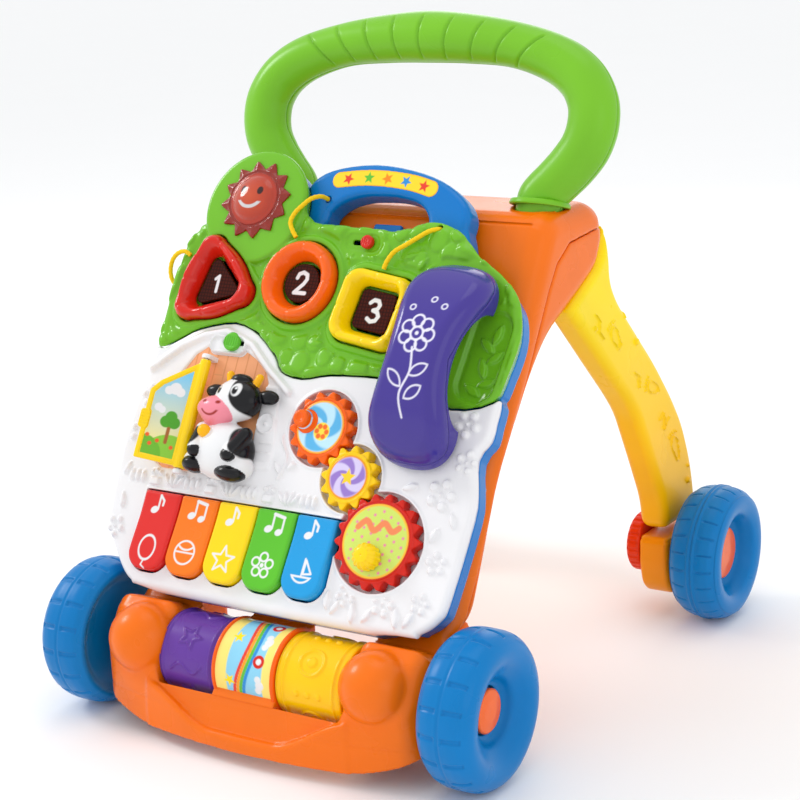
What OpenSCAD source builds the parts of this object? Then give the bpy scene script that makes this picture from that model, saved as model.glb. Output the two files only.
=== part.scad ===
// Sit-to-stand baby walker: an orange A-frame on four wheels with a green push handle,
// two spinning rollers and a lift-off activity panel.
// Millimetres, +Z up, +X to the right of someone facing the activity panel, -Y towards that person.
// The origin is on the floor under the middle of the walker.

/* [Wheels] */
// Radius of all four wheels
wheel_r = 54; // [52:1:56]
// Width of a wheel
wheel_w = 42; // [40:1:44]
// Half of the distance between the front and rear axles
half_base = 174; // [172:1:176]
// Sideways distance from the middle to the middle of a front wheel
front_track = 161; // [160:1:164]
// Sideways distance from the middle to the middle of a rear wheel
rear_track = 178; // [177:1:182]
// Radius of the steel stub axles
axle_r = 4; // [3.5:0.5:4.5]
// Radius of the front hub caps
front_cap_r = 15.5; // [14:0.5:17]
// Radius of the rear hub caps
rear_cap_r = 21; // [19:0.5:21]

/* [Frame] */
// Half of the width of the frame column
col_half = 134; // [132:1:135]
// Wall thickness of the frame shells
wall = 3; // [2.5:0.5:3]
// Radius of the curved front edge of the base, seen from above
nose_r = 288; // [286:1:290]

/* [Handle] */
// Backward lean of the push handle, in degrees
handle_lean = 16; // [14:1:18]
// Wall thickness of the handle tube
handle_wall = 2.5; // [2:0.5:3]

/* [Rollers] */
// Radius of the rollers
roller_r = 30; // [29:0.5:30.5]
// Radius of the roller axle
roller_axle_r = 3; // [2.5:0.5:3.5]

/* [Activity panel] */
// Backward tilt of the panel, in degrees
panel_tilt = 30; // [29:0.5:31]
// Thickness of the blue back shell
back_depth = 16; // [14:1:16]
// Depth of the green and white front shells
front_depth = 12; // [12:1:13]
// Wall thickness of the panel shells
panel_wall = 2.4; // [2:0.1:2.6]
// Width of one piano key
key_w = 33.2; // [32:0.1:33.4]
// Gear tooth module
gear_module = 3.5; // [3.5:0.1:3.5]

/* [Hidden] */
$fn = 64;
e = 0.01;

// Running clearance on a radius, and the gap left between parts that move past each other
run = 0.05;
gap = 0.3;

// Colours of the mouldings
orange = [0.95, 0.40, 0.10];
green = [0.45, 0.74, 0.16];
blue = [0.05, 0.42, 0.72];
white = [0.95, 0.95, 0.95];
purple = [0.34, 0.28, 0.62];
violet = [0.45, 0.25, 0.62];
yellow = [0.98, 0.82, 0.08];
red = [0.85, 0.22, 0.15];
dark_red = [0.35, 0.08, 0.05];
steel = [0.70, 0.70, 0.72];

// Outlines of the frame seen from the side, as [y, z]
col_bottom = [-162, 85];
col_top = [-8, 352];
split = [[-141, 97], [-12, 300], [0, 316], [20, 328], [60, 331], [78, 331]];
front_outline = concat([col_bottom, col_top, [60, 352], [74, 345], [78, 331]],
                       [for (i = [4:-1:0]) split[i]], [[-148, 85]]);
front_hollow = [[-164.4, 74.8], [-6.1, 349], [59, 349], [72, 343], [75, 331], [75, 300], [-100, 70]];
rear_outline = concat(split, [[78, 318], [68, 299], [26, 279], [-9, 265], [-36, 240],
                      [-83, 180], [-126, 92]]);
rear_hollow = [[-133, 80], [-128.7, 93.3], [-85.7, 181.3], [-38, 242.5], [-10, 268.2],
               [25, 282.2], [66, 301], [75, 319], [75, 345], [0, 340], [-30, 310], [-160, 100]];
base_outline = [[-228, 10], [-228, 24], [-224, 56], [-213, 80], [-197, 93], [-184, 94],
                [-168, 83], [-164, 84], [-160, 90], [-126, 91.5], [-126, 10]];
base_hollow = [[-225, 0], [-225, 24], [-221, 55], [-210.5, 78], [-196, 90], [-184.5, 91],
               [-168, 79.5], [-163, 80.8], [-158.5, 86.8], [-129, 88.3], [-129, 0]];
apron_outline = [[-228, 20], [-228, 25.5], [-217, 43.5], [-213.5, 42], [-223, 24], [-223, 20]];
lip_top = 26;
leg_outline = [[26, 278.7], [68, 298.7], [78.3, 318], [78.3, 324], [84, 316], [86, 300], [85, 281],
               [112, 247], [152, 205], [180, 170], [196, 145], [207, 113], [211, 88], [211, 66],
               [152, 66], [150, 90], [134, 127], [114, 170], [100, 187], [70, 218], [28, 262],
               [16, 274]];
tenon_outline = [[36, 274], [58, 284], [52, 300], [30, 290]];
foot_outline = [[151, 66], [150, 40], [154, 25], [164, 16], [188, 16], [202, 26], [209, 44], [211, 66]];
leg_in = 110;
leg_out = 134;
foot_in = 121.3;
foot_out = 146;
leg_splay = 3;
base_in = 78;

// Handle: where its plane meets the top of the frame, the line of its tube and the tube's radii
handle_y = 25;
handle_z = 350;
neck_x = 107;
handle_line = [[neck_x, -14], [neck_x, 1], [107.5, 8], [111.5, 13.5], [119, 21], [130, 33],
               [139, 47], [142.5, 63], [140, 79], [129, 95], [108, 108], [74, 118], [36, 122.5], [0, 124]];
handle_radii = [17, 17, 17, 17.5, 18, 19, 20, 20.5, 20, 19, 18, 16.5, 18, 19];

// Rollers: the axle's place and the ends of the three drums
roller_y = -184;
roller_z = 57;
purple_ends = [-77, -30];
housing_ends = [-29.5, 23.5];
yellow_ends = [24, 77];

// The panel's own frame: x across, y up along its face, z out of it
panel_y = -188;
panel_z = 100;
back_floor = -front_depth - back_depth;
white_low = [[-159, 44], [-153, 32], [-145, 21], [-135, 9], [-124, 1], [-110, -1], [105, -1], [124, 3],
             [137, 15], [141, 30], [145, 86], [143, 105], [138, 126], [144, 138], [145, 152], [139, 165]];
white_left = [[-151, 178], [-160, 150], [-164, 110], [-161, 60]];
wave = [[-151, 178], [-134, 186], [-118, 195], [-87, 202], [-64, 195], [-45, 180], [-37, 170],
        [-18, 166], [6, 171], [46, 173], [75, 168], [108, 157], [139, 165]];
green_top = [[146, 185], [149, 210], [145, 230], [137, 243], [122, 256], [104, 266], [88, 280],
             [72, 288], [55, 289], [35, 281], [0, 282], [-40, 284], [-60, 300], [-110, 300],
             [-146, 268], [-153, 240], [-154, 200]];
sun_at = [-94, 291];
sun_r = 45;
arch_outer = [[-60, 275], [-61, 308], [-54, 322], [-36, 330], [-6, 334], [25, 331], [51, 324],
              [71, 313], [83, 301], [87, 284], [86, 275]];
arch_inner = [[-36, 270], [-36, 288], [-34, 296], [-26, 303], [-12, 308], [5, 309.5], [22, 309],
              [38, 305], [47, 297], [50, 287], [50, 270]];
arch_front = -8;

// Shape rings and their buttons
triangle_at = [-112, 230];
triangle_turn = 17;
circle_at = [-37, 236];
square_at = [30, 220];
square_turn = -8;
ring_bottom = -3.6;
ring_top = 14;
cup_floor = -4;
button_travel = 2;

// Gears: centre, teeth; each sits in a well in the white shell
gear_teeth = [14, 12, 18];
mesh_far = gear_module * (gear_teeth[0] + gear_teeth[1]) / 2;
mesh_near = gear_module * (gear_teeth[1] + gear_teeth[2]) / 2;
yellow_gear_at = [44, 100];
orange_gear_at = yellow_gear_at + mesh_far * [-cos(45), sin(45)];
red_gear_at = yellow_gear_at + mesh_near * [cos(50), -sin(50)];
gear_at = [orange_gear_at, yellow_gear_at, red_gear_at];
gear_bottom = -5;
gear_top = 4;
well_floor = -6;
pin_r = 3;

// Piano keys
key_pitch = 34;
key_left = -126;
key_low = 12;
key_high = 70;
key_hinge_v = 69;
key_hinge_n = -3.5;

// Barn door, cow, sliders and handset
door_u = -99;
door_n = 7;
door_low = 88;
door_high = 170;
door_open = 150;
mode_at = [-84, 187];
volume_at = [11, 270];
latch_at = [6, 289.5];
phone_at = [95, 184];
phone_turn = -4;
phone_w = 52;
phone_half = 72;

// Cords: radius, and the route of each in the panel's own frame
cord_r = 1.75;
route_triangle = [[-142, 250, 3], [-147, 252, 5], [-153, 250, 5], [-158, 245, 3], [-160, 238, 0],
                  [-159, 232, -3], [-156.5, 229, -5]];
route_circle = [[-49, 269, 5], [-53, 274, 6.5], [-56, 280, 7], [-54, 287, 7], [-49, 293, 7],
                [-44, 299, 5.5], [-40, 303, 0], [-39, 304, -8]];
route_square = [[32, 250, 5], [34, 256, 6], [38, 263, 6], [46, 269, 5.5], [54, 275, 5],
                [61, 280, 4.5], [66, 283, 1.5], [67, 284, -3]];

module along_x(x0, x1) {
    translate([x0, 0, 0]) rotate([90, 0, 90]) linear_extrude(x1 - x0) children();
}
module both_sides() {
    children();
    mirror([1, 0, 0]) children();
}
module on_panel() {
    translate([0, panel_y, panel_z]) rotate([90 - panel_tilt, 0, 0]) children();
}
module on_handle() {
    translate([0, handle_y, handle_z]) rotate([90 - handle_lean, 0, 0]) children();
}
// A rod along X between two values of x
module rod_x(y, z, r, x0, x1) {
    translate([x0, y, z]) rotate([0, 90, 0]) cylinder(r = r, h = x1 - x0);
}

// ---- Frame ----
module base_block() {
    both_sides() along_x(base_in, col_half) polygon(base_outline);
    both_sides() intersection() {
        union() {
            translate([97, -203, 70]) sphere(r = 25);
            translate([98, -212, 75]) sphere(r = 15);
        }
        translate([base_in, -300, 0]) cube([60, 150, 150]);
    }
    along_x(-base_in - e, base_in + e) polygon(apron_outline);
}
module lip() {
    difference() {
        nose(nose_r);
        nose(nose_r - wall - 0.5);
    }
}
module nose(r) {
    translate([0, nose_r - 228, 0]) cylinder(r = r, h = 400, $fn = 128);
}
module front_shell() {
    color(orange) difference() {
        union() {
            difference() {
                intersection() {
                    base_block();
                    nose(nose_r);
                }
                intersection() {
                    both_sides() along_x(base_in + wall, col_half - wall) polygon(base_hollow);
                    nose(nose_r - wall);
                }
            }
            difference() {
                along_x(-col_half, col_half) polygon(front_outline);
                along_x(wall - col_half, col_half - wall) polygon(front_hollow);
            }
            intersection() {
                lip();
                translate([-base_in - e, -229, 10]) cube([2 * base_in + 2 * e, 20, lip_top - 10]);
            }
            both_sides() rod_x(-half_base, wheel_r, axle_r + 5, 112, col_half - e);
        }
        both_sides() rod_x(-half_base, wheel_r, axle_r + 0.1, 100, 150);
        rod_x(roller_y, roller_z, roller_axle_r + 0.1, -90, 90);
        both_sides() on_handle() translate([neck_x, 0, 0]) rotate([90, 0, 0])
            cylinder(r = 17.4, h = 80, center = true);
        on_panel() {
            for (u = [-60, 60]) translate([u, 30, back_floor - 10]) cylinder(r = 4.3, h = 12);
            translate([latch_at[0] - 7, latch_at[1] - 3.5, back_floor - 12]) cube([14, 13, 14]);
        }
    }
}
module rear_screw_places() {
    for (x = [-112, 112], p = [[-105, 135], [-59.5, 210], [-21, 254]])
        translate([x, p[0], p[1]]) children();
}
module rear_shell() {
    color(orange) difference() {
        along_x(-col_half, col_half) polygon(rear_outline);
        along_x(wall - col_half, col_half - wall) polygon(rear_hollow);
        both_sides() along_x(leg_in + 3, leg_out - 3) polygon(tenon_outline);
        rear_screw_places() rotate([-116, 0, 0]) cylinder(r = 2.2, h = 30, center = true);
    }
}
module frame_screws() {
    color(steel) rear_screw_places() rotate([-116, 0, 0]) {
        translate([0, 0, 4]) cylinder(r = 4, h = 2);
        translate([0, 0, -10]) cylinder(r = 2, h = 14 + e);
    }
}
module leg() {
    translate([0, 0, 290]) rotate([0, -leg_splay, 0]) translate([0, 0, -290]) {
        difference() {
            along_x(leg_in, leg_out) polygon(leg_outline);
            along_x(leg_in + wall, leg_out - wall) {
                offset(delta = -wall) polygon(leg_outline);
                translate([157, 60]) square([48, 12]);
            }
        }
        along_x(leg_in + 4, leg_out - 4) offset(delta = -0.6) polygon(tenon_outline);
    }
}
module foot() {
    difference() {
        along_x(foot_in, foot_out) polygon(foot_outline);
        rod_x(half_base, wheel_r, axle_r + 0.1, 100, 160);
    }
}

// ---- Push handle: two halves of a bent tube ----
function spline(p, i, t) = let (
    a = p[max(i - 1, 0)], b = p[i], c = p[i + 1], d = p[min(i + 2, len(p) - 1)])
    0.5 * (2 * b + (c - a) * t + (2 * a - 5 * b + 4 * c - d) * t * t
           + (3 * b - 3 * c + d - a) * t * t * t);
function smooth(p, steps) = concat(
    [for (i = [0:len(p) - 2], k = [0:steps - 1]) spline(p, i, k / steps)], [p[len(p) - 1]]);
function flip(p) = [for (i = [len(p) - 2:-1:0]) [-p[i][0], p[i][1]]];
function back(p) = [for (i = [len(p) - 2:-1:0]) p[i]];
function turn(v) = [-v[1], v[0]] / norm(v);
handle_half_line = smooth(handle_line, 2);
handle_half_r = smooth(handle_radii, 2);
// The collar is four extra rings on the straight neck, just above the frame's top
collar_y = [2.2, 2.4, 6, 6.2];
collar_r = [handle_radii[0], 22, 22, handle_radii[1]];
collar_line = [for (y = collar_y) [neck_x, y]];
neck_line = [for (p = handle_half_line) if (p[1] < 2) p];
bend_line = [for (p = handle_half_line) if (p[1] > 7.9) p];
neck_radii = [for (i = [0:len(neck_line) - 1]) handle_half_r[i]];
bend_radii = [for (i = [len(handle_half_r) - len(bend_line):len(handle_half_r) - 1]) handle_half_r[i]];
side_line = concat(neck_line, collar_line, bend_line);
side_r = concat(neck_radii, collar_r, bend_radii);
tube_line = concat(side_line, flip(side_line));
tube_r = concat(side_r, back(side_r));
// One half of the tube; side is 1 for the front half and -1 for the rear half
module half_tube(side) {
    n = len(tube_line);
    sides = 10;
    ring = 2 * (sides + 1);
    points = [for (i = [0:n - 1]) let (
        across = turn(tube_line[min(i + 1, n - 1)] - tube_line[max(i - 1, 0)]), r = tube_r[i])
        each concat(
            [for (k = [0:sides]) let (a = 180 * k / sides)
                [each (tube_line[i] + across * r * cos(a)), side * r * sin(a)]],
            [for (k = [sides:-1:0]) let (a = 180 * k / sides, q = r - handle_wall)
                [each (tube_line[i] + across * q * cos(a)), side * q * sin(a)]])];
    quads = [for (i = [0:n - 2], k = [0:ring - 1]) let (
        a = i * ring + k, b = i * ring + (k + 1) % ring)
        side < 0 ? [a, b, b + ring, a + ring] : [a, a + ring, b + ring, b]];
    first = [for (k = [0:ring - 1]) k];
    last = [for (k = [0:ring - 1]) (n - 1) * ring + k];
    caps = side < 0
        ? [[for (k = [ring - 1:-1:0]) first[k]], last]
        : [first, [for (k = [ring - 1:-1:0]) last[k]]];
    polyhedron(points, concat(quads, caps), convexity = 6);
}
module handle_half(side) {
    color(green) on_handle() half_tube(side);
}

// ---- Wheels ----
module wheel(cap_r) {
    rim = wheel_r;
    half = wheel_w / 2;
    rotate([0, 90, 0]) rotate_extrude($fn = 96)
        polygon([[rim, -half + 8], [rim, half - 8], [rim - 2.5, half - 3], [rim - 8, half],
                 [rim - 17, half], [rim - 21, half - 2], [cap_r + 9, half - 11], [cap_r + 3, 5],
                 [axle_r + run, 5], [axle_r + run, -16], [9, -16], [9, 1], [cap_r + 1, 1],
                 [cap_r + 6.5, half - 13.5], [rim - 20, half - 5], [rim - 9, half - 3.5],
                 [rim - 4.5, half - 7], [rim - 3, half - 10], [rim - 3, -half + 8],
                 [rim - 3, -half + 3]]);
}
module cap(cap_r) {
    translate([5, 0, 0]) rotate([0, 90, 0]) rotate_extrude()
        polygon([[0, 0], [cap_r - 1, 0], [cap_r, 1], [cap_r, 2.6], [cap_r - 1.5, 3.5], [0, 4]]);
}
module front_wheel_place() { translate([front_track, -half_base, wheel_r]) children(); }
module rear_wheel_place() { translate([rear_track, half_base, wheel_r]) children(); }
module stub_axle(y, x0, x1) {
    rod_x(y, wheel_r, axle_r, x0, x1);
    rod_x(y, wheel_r, axle_r + 2, x0 - 3, x0 + e);
}
module speed_knob() {
    difference() {
        rod_x(half_base, wheel_r, 24, 109, 121);
        rod_x(half_base, wheel_r, axle_r + run, 100, 130);
    }
}

// ---- Rollers ----
module roller(ends, web_at) {
    difference() {
        rod_x(roller_y, roller_z, roller_r, ends[0], ends[1]);
        difference() {
            rod_x(roller_y, roller_z, roller_r - 2.5, ends[0] - 1, ends[1] + 1);
            rod_x(roller_y, roller_z, 7, ends[0] - 2, ends[1] + 2);
            rod_x(roller_y, roller_z, roller_r, web_at, web_at + 3);
        }
        rod_x(roller_y, roller_z, roller_axle_r + run, ends[0] - 1, ends[1] + 1);
    }
}
module roller_housing() {
    color(yellow) difference() {
        union() {
            rod_x(roller_y, roller_z, roller_r, housing_ends[0], housing_ends[1]);
            for (x = [housing_ends[0], housing_ends[1] - 3])
                rod_x(roller_y, roller_z, roller_r + 1.5, x, x + 3);
            along_x(housing_ends[0], housing_ends[1])
                polygon([[-180, 79], [-173, 84], [-164.2, 84], [-161, 85.5], [-161, 80], [-168, 72]]);
            along_x(housing_ends[0], housing_ends[1])
                polygon([[-216.6, 43.4], [-213.2, 41.5], [-200, 40], [-206, 56]]);
        }
        rod_x(roller_y, roller_z, roller_axle_r + run, -40, 40);
    }
}

// ---- Outlines used on the panel; each grows by an amount ----
module ring_shape(kind, grow) {
    if (kind == 0) translate(triangle_at) rotate(triangle_turn) hull() for (a = [90, 210, 330])
        rotate(a) translate([27, 0]) circle(r = 11 + grow, $fn = 32);
    if (kind == 1) translate(circle_at) circle(r = 31 + grow);
    if (kind == 2) translate(square_at) rotate(square_turn) hull() for (i = [-1, 1], j = [-1, 1])
        translate([20 * i, 18 * j]) circle(r = 9.5 + grow, $fn = 32);
}
module hole_shape(kind, grow) {
    if (kind == 0) translate(triangle_at) rotate(triangle_turn) hull() for (a = [90, 210, 330])
        rotate(a) translate([15, 0]) circle(r = 6 + grow, $fn = 32);
    if (kind == 1) translate(circle_at) circle(r = 16 + grow);
    if (kind == 2) translate(square_at) rotate(square_turn) hull() for (i = [-1, 1], j = [-1, 1])
        translate([12 * i, 12 * j]) circle(r = 4 + grow, $fn = 32);
}
module well_shape(grow) {
    for (i = [0:2]) translate(gear_at[i])
        circle(r = gear_module * gear_teeth[i] / 2 + 4.5 + grow);
}
module key_window(grow) {
    translate([key_left - grow - 0.4, key_low - 1.4 - grow])
        square([5 * key_pitch + 2 * grow + 0.8, key_high - key_low + 2.6 + 2 * grow]);
}
// A tray with its flat face at 0 and its open side at the back
module tray(depth) {
    difference() {
        translate([0, 0, -depth]) linear_extrude(depth) children();
        translate([0, 0, -depth - 1]) linear_extrude(depth + 1 - panel_wall)
            offset(delta = -panel_wall) children();
    }
}

// ---- Panel shells ----
module green_outline() {
    polygon(concat(wave, green_top));
    translate(sun_at) circle(r = sun_r);
}
module green_shell() {
    color(green) on_panel() difference() {
        union() {
            tray(front_depth) green_outline();
            translate([sun_at[0], sun_at[1], -e]) cylinder(r = sun_r - 1, h = 4);
            for (k = [0:2]) translate([0, 0, cup_floor - 2])
                linear_extrude(-cup_floor + 2) ring_shape(k, 3.2);
        }
        for (k = [0:2]) {
            translate([0, 0, cup_floor]) linear_extrude(20) ring_shape(k, 0.8);
            translate([0, 0, -10]) linear_extrude(20) hole_shape(k, -0.7);
        }
        translate([volume_at[0] - 14, volume_at[1] - 1.8, -5]) cube([18, 3.6, 8]);
        translate([route_square[7][0], route_square[7][1], -5]) cylinder(r = 2.6, h = 8);
    }
}
module white_outline() {
    polygon(concat([for (i = [len(wave) - 1:-1:0]) wave[i]], [white_left[1], white_left[2], white_left[3]],
                   white_low));
}
module door_lugs() {
    for (v = [door_low - 4.3, door_high + 0.8]) translate([door_u - 4, v, -e]) cube([8, 3.5, 11]);
}
module white_shell() {
    color(white) on_panel() difference() {
        union() {
            difference() {
                union() {
                    tray(front_depth) white_outline();
                    translate([0, 0, well_floor - 2]) linear_extrude(2 - well_floor - e) well_shape(2);
                }
                translate([0, 0, well_floor]) linear_extrude(20) well_shape(0);
                translate([0, 0, -20]) linear_extrude(40) key_window(0);
            }
            door_lugs();
            for (p = gear_at) translate([p[0], p[1], well_floor - e]) cylinder(r = pin_r, h = 7.5);
        }
        translate([door_u, door_low - 6, door_n]) rotate([-90, 0, 0]) cylinder(r = 1.6, h = 100);
        translate([mode_at[0] - 10, mode_at[1] - 1.8, -5]) cube([20, 3.6, 8]);
    }
}
panel_screw_places = [[-140, 60], [125, 40], [130, 110], [-140, 200], [-20, 255], [128, 220]];
module panel_back() {
    color(blue) on_panel() difference() {
        union() {
            translate([0, 0, back_floor]) linear_extrude(back_depth) back_outline();
            difference() {
                translate([0, 0, back_floor]) linear_extrude(arch_front - back_floor) polygon(arch_outer);
                translate([0, 0, back_floor - 1]) linear_extrude(40) polygon(arch_inner);
                translate([0, 0, -front_depth]) linear_extrude(40) offset(delta = 0.1) green_outline();
                translate([route_circle[7][0], route_circle[7][1], -12]) cylinder(r = 2.6, h = 8);
            }
            for (u = [-60, 60]) translate([u, 30, back_floor - 8]) cylinder(r = 4, h = 8 + e);
        }
        translate([0, 0, back_floor + panel_wall]) linear_extrude(40) offset(delta = -panel_wall)
            back_outline();
        translate([-34, 8, back_floor - 1]) cube([62, 68, 5]);
        for (p = panel_screw_places) translate([p[0], p[1], back_floor - 1]) cylinder(r = 1.7, h = 6);
    }
}
module back_outline() {
    green_outline();
    white_outline();
}
module battery_cover() {
    color(blue) on_panel() difference() {
        translate([-33.6, 8.4, back_floor]) cube([61.2, 67.2, panel_wall]);
        for (v = [16:6:68]) translate([-25, v, back_floor - 1]) cube([44, 2, 1.8]);
    }
}
module batteries() {
    color("dimgray") on_panel() for (u = [-20, -3, 14]) translate([u, 15, back_floor + 10]) {
        rotate([-90, 0, 0]) cylinder(r = 7.2, h = 49);
        translate([0, 49 - e, 0]) rotate([-90, 0, 0]) cylinder(r = 2.7, h = 1.5);
    }
}
module panel_screws() {
    color(steel) on_panel() for (p = panel_screw_places) translate([p[0], p[1], back_floor - 1.2]) {
        cylinder(r = 3, h = 1.2);
        cylinder(r = 1.5, h = 10);
    }
}
module circuit_board() {
    color("darkgreen") on_panel() {
        translate([-120, 90, -21]) cube([165, 160, 1.6]);
        for (p = [[-80, 150], [-20, 130], [0, 200]]) translate([p[0], p[1], -19.4 - e]) cube([16, 12, 3]);
    }
}
module speaker() {
    color("dimgray") on_panel() translate([95, 200, back_floor + panel_wall]) rotate_extrude()
        polygon([[0, 0], [14, 0], [14, 6], [28, 10], [28, 12], [24, 12], [12, 8.5], [0, 8.5]]);
}

// ---- Sun lens, buttons, rings and cords ----
module star(r_in, r_out, rays) {
    polygon([for (i = [0:2 * rays - 1]) let (r = i % 2 == 0 ? r_out : r_in, a = 180 * i / rays)
        r * [cos(a), sin(a)]]);
}
module sun_lens() {
    color(dark_red, 0.8) on_panel() translate([sun_at[0], sun_at[1] + 5, 4]) {
        rotate(11) linear_extrude(4) star(24, 31, 12);
        translate([0, 0, 4 - e]) rotate_extrude()
            polygon([for (a = [0:10:90]) [20 * cos(a), 6 * sin(a)], [0, 0]]);
    }
}
module button(k) {
    color(dark_red, 0.7) on_panel() {
        translate([0, 0, -1]) linear_extrude(2.5) hole_shape(k, -1.2);
        translate([0, 0, -12]) linear_extrude(11 + e) hole_shape(k, -3);
    }
}
module ring(k) {
    on_panel() difference() {
        union() {
            translate([0, 0, ring_bottom]) linear_extrude(12 - ring_bottom) ring_shape(k, 0);
            translate([0, 0, 12 - e]) linear_extrude(ring_top - 12) ring_shape(k, -3);
        }
        translate([0, 0, ring_bottom - 1]) linear_extrude(30) hole_shape(k, 0);
        translate([0, 0, 10]) linear_extrude(30) hole_shape(k, 3);
    }
}
module cord(route) {
    line = smooth(route, 2);
    n = len(line);
    m = 8;
    rings = [for (i = [0:n - 1]) let (
        d = line[min(i + 1, n - 1)] - line[max(i - 1, 0)], w = d / norm(d),
        s = cross(w, [0.3, 0.2, 1]), u = s / norm(s), v = cross(w, u))
        each [for (k = [0:m - 1]) line[i] + cord_r * (u * cos(360 * k / m) + v * sin(360 * k / m))]];
    walls = [for (i = [0:n - 2], k = [0:m - 1])
        [i * m + k, (i + 1) * m + k, (i + 1) * m + (k + 1) % m, i * m + (k + 1) % m]];
    color(yellow) on_panel() polyhedron(rings, concat(walls,
        [[for (k = [0:m - 1]) k]], [[for (k = [m - 1:-1:0]) (n - 1) * m + k]]), convexity = 4);
}

// ---- Gears ----
module gear_outline(teeth) {
    r = gear_module * teeth / 2;
    steps = 8;
    polygon([for (i = [0:teeth * steps - 1]) let (a = 360 * i / (teeth * steps))
        (r - 0.4 + 2.4 * cos(a * teeth)) * [cos(a), sin(a)]]);
}
module gear(i, phase) {
    on_panel() translate([gear_at[i][0], gear_at[i][1], 0]) difference() {
        union() {
            translate([0, 0, gear_bottom]) linear_extrude(gear_top - gear_bottom) rotate(phase)
                gear_outline(gear_teeth[i]);
            translate([0, 0, gear_top - e])
                cylinder(r = gear_module * gear_teeth[i] / 2 - 4.5, h = 1);
            children();
        }
        translate([0, 0, gear_bottom - 1]) cylinder(r = pin_r + run, h = 8);
    }
}
module gear_knob() {
    color(yellow) on_panel() translate([red_gear_at[0] - 1, red_gear_at[1] - 12, gear_top + 1])
        rotate_extrude() polygon([[0, 0], [9, 0], [9.5, 2], [9.5, 8], [8, 11], [5, 12.5], [0, 13]]);
}

// ---- Piano keys ----
module key(i) {
    on_panel() translate([key_left + i * key_pitch + (key_pitch - key_w) / 2, 0, 0]) union() {
        translate([0, key_low + 12, -5]) cube([key_w, key_high - key_low - 12, 9]);
        translate([12, key_low + 12, -5]) cylinder(r = 12, h = 12);
        translate([key_w - 12, key_low + 12, -5]) cylinder(r = 12, h = 12);
        translate([12, key_low, -5]) cube([key_w - 24, 13, 12]);
        translate([0, key_low + 12, -5]) cube([key_w, 12, 12]);
        rod_x(key_hinge_v, key_hinge_n, 1.8, 0, key_w);
    }
}

// ---- Barn door, cow, sliders, latch and handset ----
module door_pin() {
    color(steel) on_panel() translate([door_u, door_low - 4, door_n]) rotate([-90, 0, 0])
        cylinder(r = 1.5, h = door_high - door_low + 8);
}
module barn_door() {
    color(yellow) on_panel() translate([door_u, 0, door_n]) difference() {
        union() {
            translate([0, door_low, 0]) rotate([-90, 0, 0]) cylinder(r = 4, h = door_high - door_low);
            rotate([0, -door_open, 0]) translate([0, 0, -2]) linear_extrude(4)
                polygon([[2, door_low + 1], [34, door_low + 1], [34, 140], [28, 148], [2, door_high - 2]]);
        }
        translate([0, door_low - 1, 0]) rotate([-90, 0, 0]) cylinder(r = 1.5 + run, h = 100);
    }
}
// A rounded mound standing on the panel's face
module mound(u, v, r, h) {
    hull() for (k = [[1, 0.45], [0.85, 0.75], [0.5, 1]])
        translate([u, v, gap]) cylinder(r = r * k[0], h = h * k[1], $fn = 32);
}
module cow() {
    color("white") on_panel() {
        mound(-58, 104, 23, 22);
        mound(-62, 142, 19, 20);
        mound(-74, 131, 13, 24);
        for (s = [-1, 1]) mound(-62 + s * 20, 148, 7, 9);
        for (s = [-1, 1]) mound(-58 + s * 14, 89, 8, 15);
    }
}
module slider(at, r) {
    on_panel() translate([at[0], at[1], 0]) {
        translate([0, 0, gap]) cylinder(r = r, h = 4);
        translate([-2, -1.4, -5]) cube([4, 2.8, 6]);
    }
}
module panel_latch() {
    color(blue) on_panel() translate([latch_at[0], latch_at[1], 0]) {
        translate([-12, -3, back_floor - 1.2]) cube([24, 7, 3.6]);
        translate([-6, -2.5, back_floor - 12]) cube([12, 5, 11]);
    }
}
module phone_side(grow) {
    polygon([[-phone_half - grow, 2], [-phone_half - grow, 14], [-60, 26 + grow], [-36, 38 + grow],
             [0, 43 + grow], [36, 38 + grow], [60, 26 + grow], [phone_half + grow, 14],
             [phone_half + grow, 2], [40, 1.2], [34, 18], [18, 24], [0, 26], [-18, 24], [-34, 18],
             [-40, 1.2]]);
}
module phone_body() {
    translate([-phone_w / 2, 0, 0]) rotate([90, 0, 90]) linear_extrude(phone_w) phone_side(0);
}
module phone_upper() {
    translate([-phone_w, -100, 0]) rotate([90, 0, 90]) linear_extrude(2 * phone_w)
        polygon([[0, 12], [44, 12], [70, 25], [100, 34], [130, 25], [156, 12], [200, 12], [200, 99], [0, 99]]);
}
module on_phone() { on_panel() translate([phone_at[0], phone_at[1], gap]) rotate(phone_turn) children(); }

front_shell();
rear_shell();
handle_half(1);  // handle_front
handle_half(-1);  // handle_rear
color(yellow) leg();  // leg_right
color(yellow) mirror([1, 0, 0]) leg();  // leg_left
color(orange) foot();  // foot_right
color(orange) mirror([1, 0, 0]) foot();  // foot_left
color(steel) both_sides() stub_axle(-half_base, 112, front_track + 4.5);  // front_axles
color(steel) both_sides() stub_axle(half_base, 108.7, rear_track + 4.5);  // rear_axles
color(steel) rod_x(roller_y, roller_z, roller_axle_r, -80.5, 80.5);  // roller_axle
roller_housing();
frame_screws();
color(violet) roller(purple_ends, purple_ends[0]);  // roller_purple
color(yellow) roller(yellow_ends, yellow_ends[1] - 3);  // roller_yellow
color(blue) front_wheel_place() wheel(front_cap_r);  // wheel_front_right
color(blue) mirror([1, 0, 0]) front_wheel_place() wheel(front_cap_r);  // wheel_front_left
color(blue) rear_wheel_place() wheel(rear_cap_r);  // wheel_rear_right
color(blue) mirror([1, 0, 0]) rear_wheel_place() wheel(rear_cap_r);  // wheel_rear_left
color(orange) front_wheel_place() cap(front_cap_r);  // cap_front_right
color(orange) mirror([1, 0, 0]) front_wheel_place() cap(front_cap_r);  // cap_front_left
color(orange) rear_wheel_place() cap(rear_cap_r);  // cap_rear_right
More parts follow.
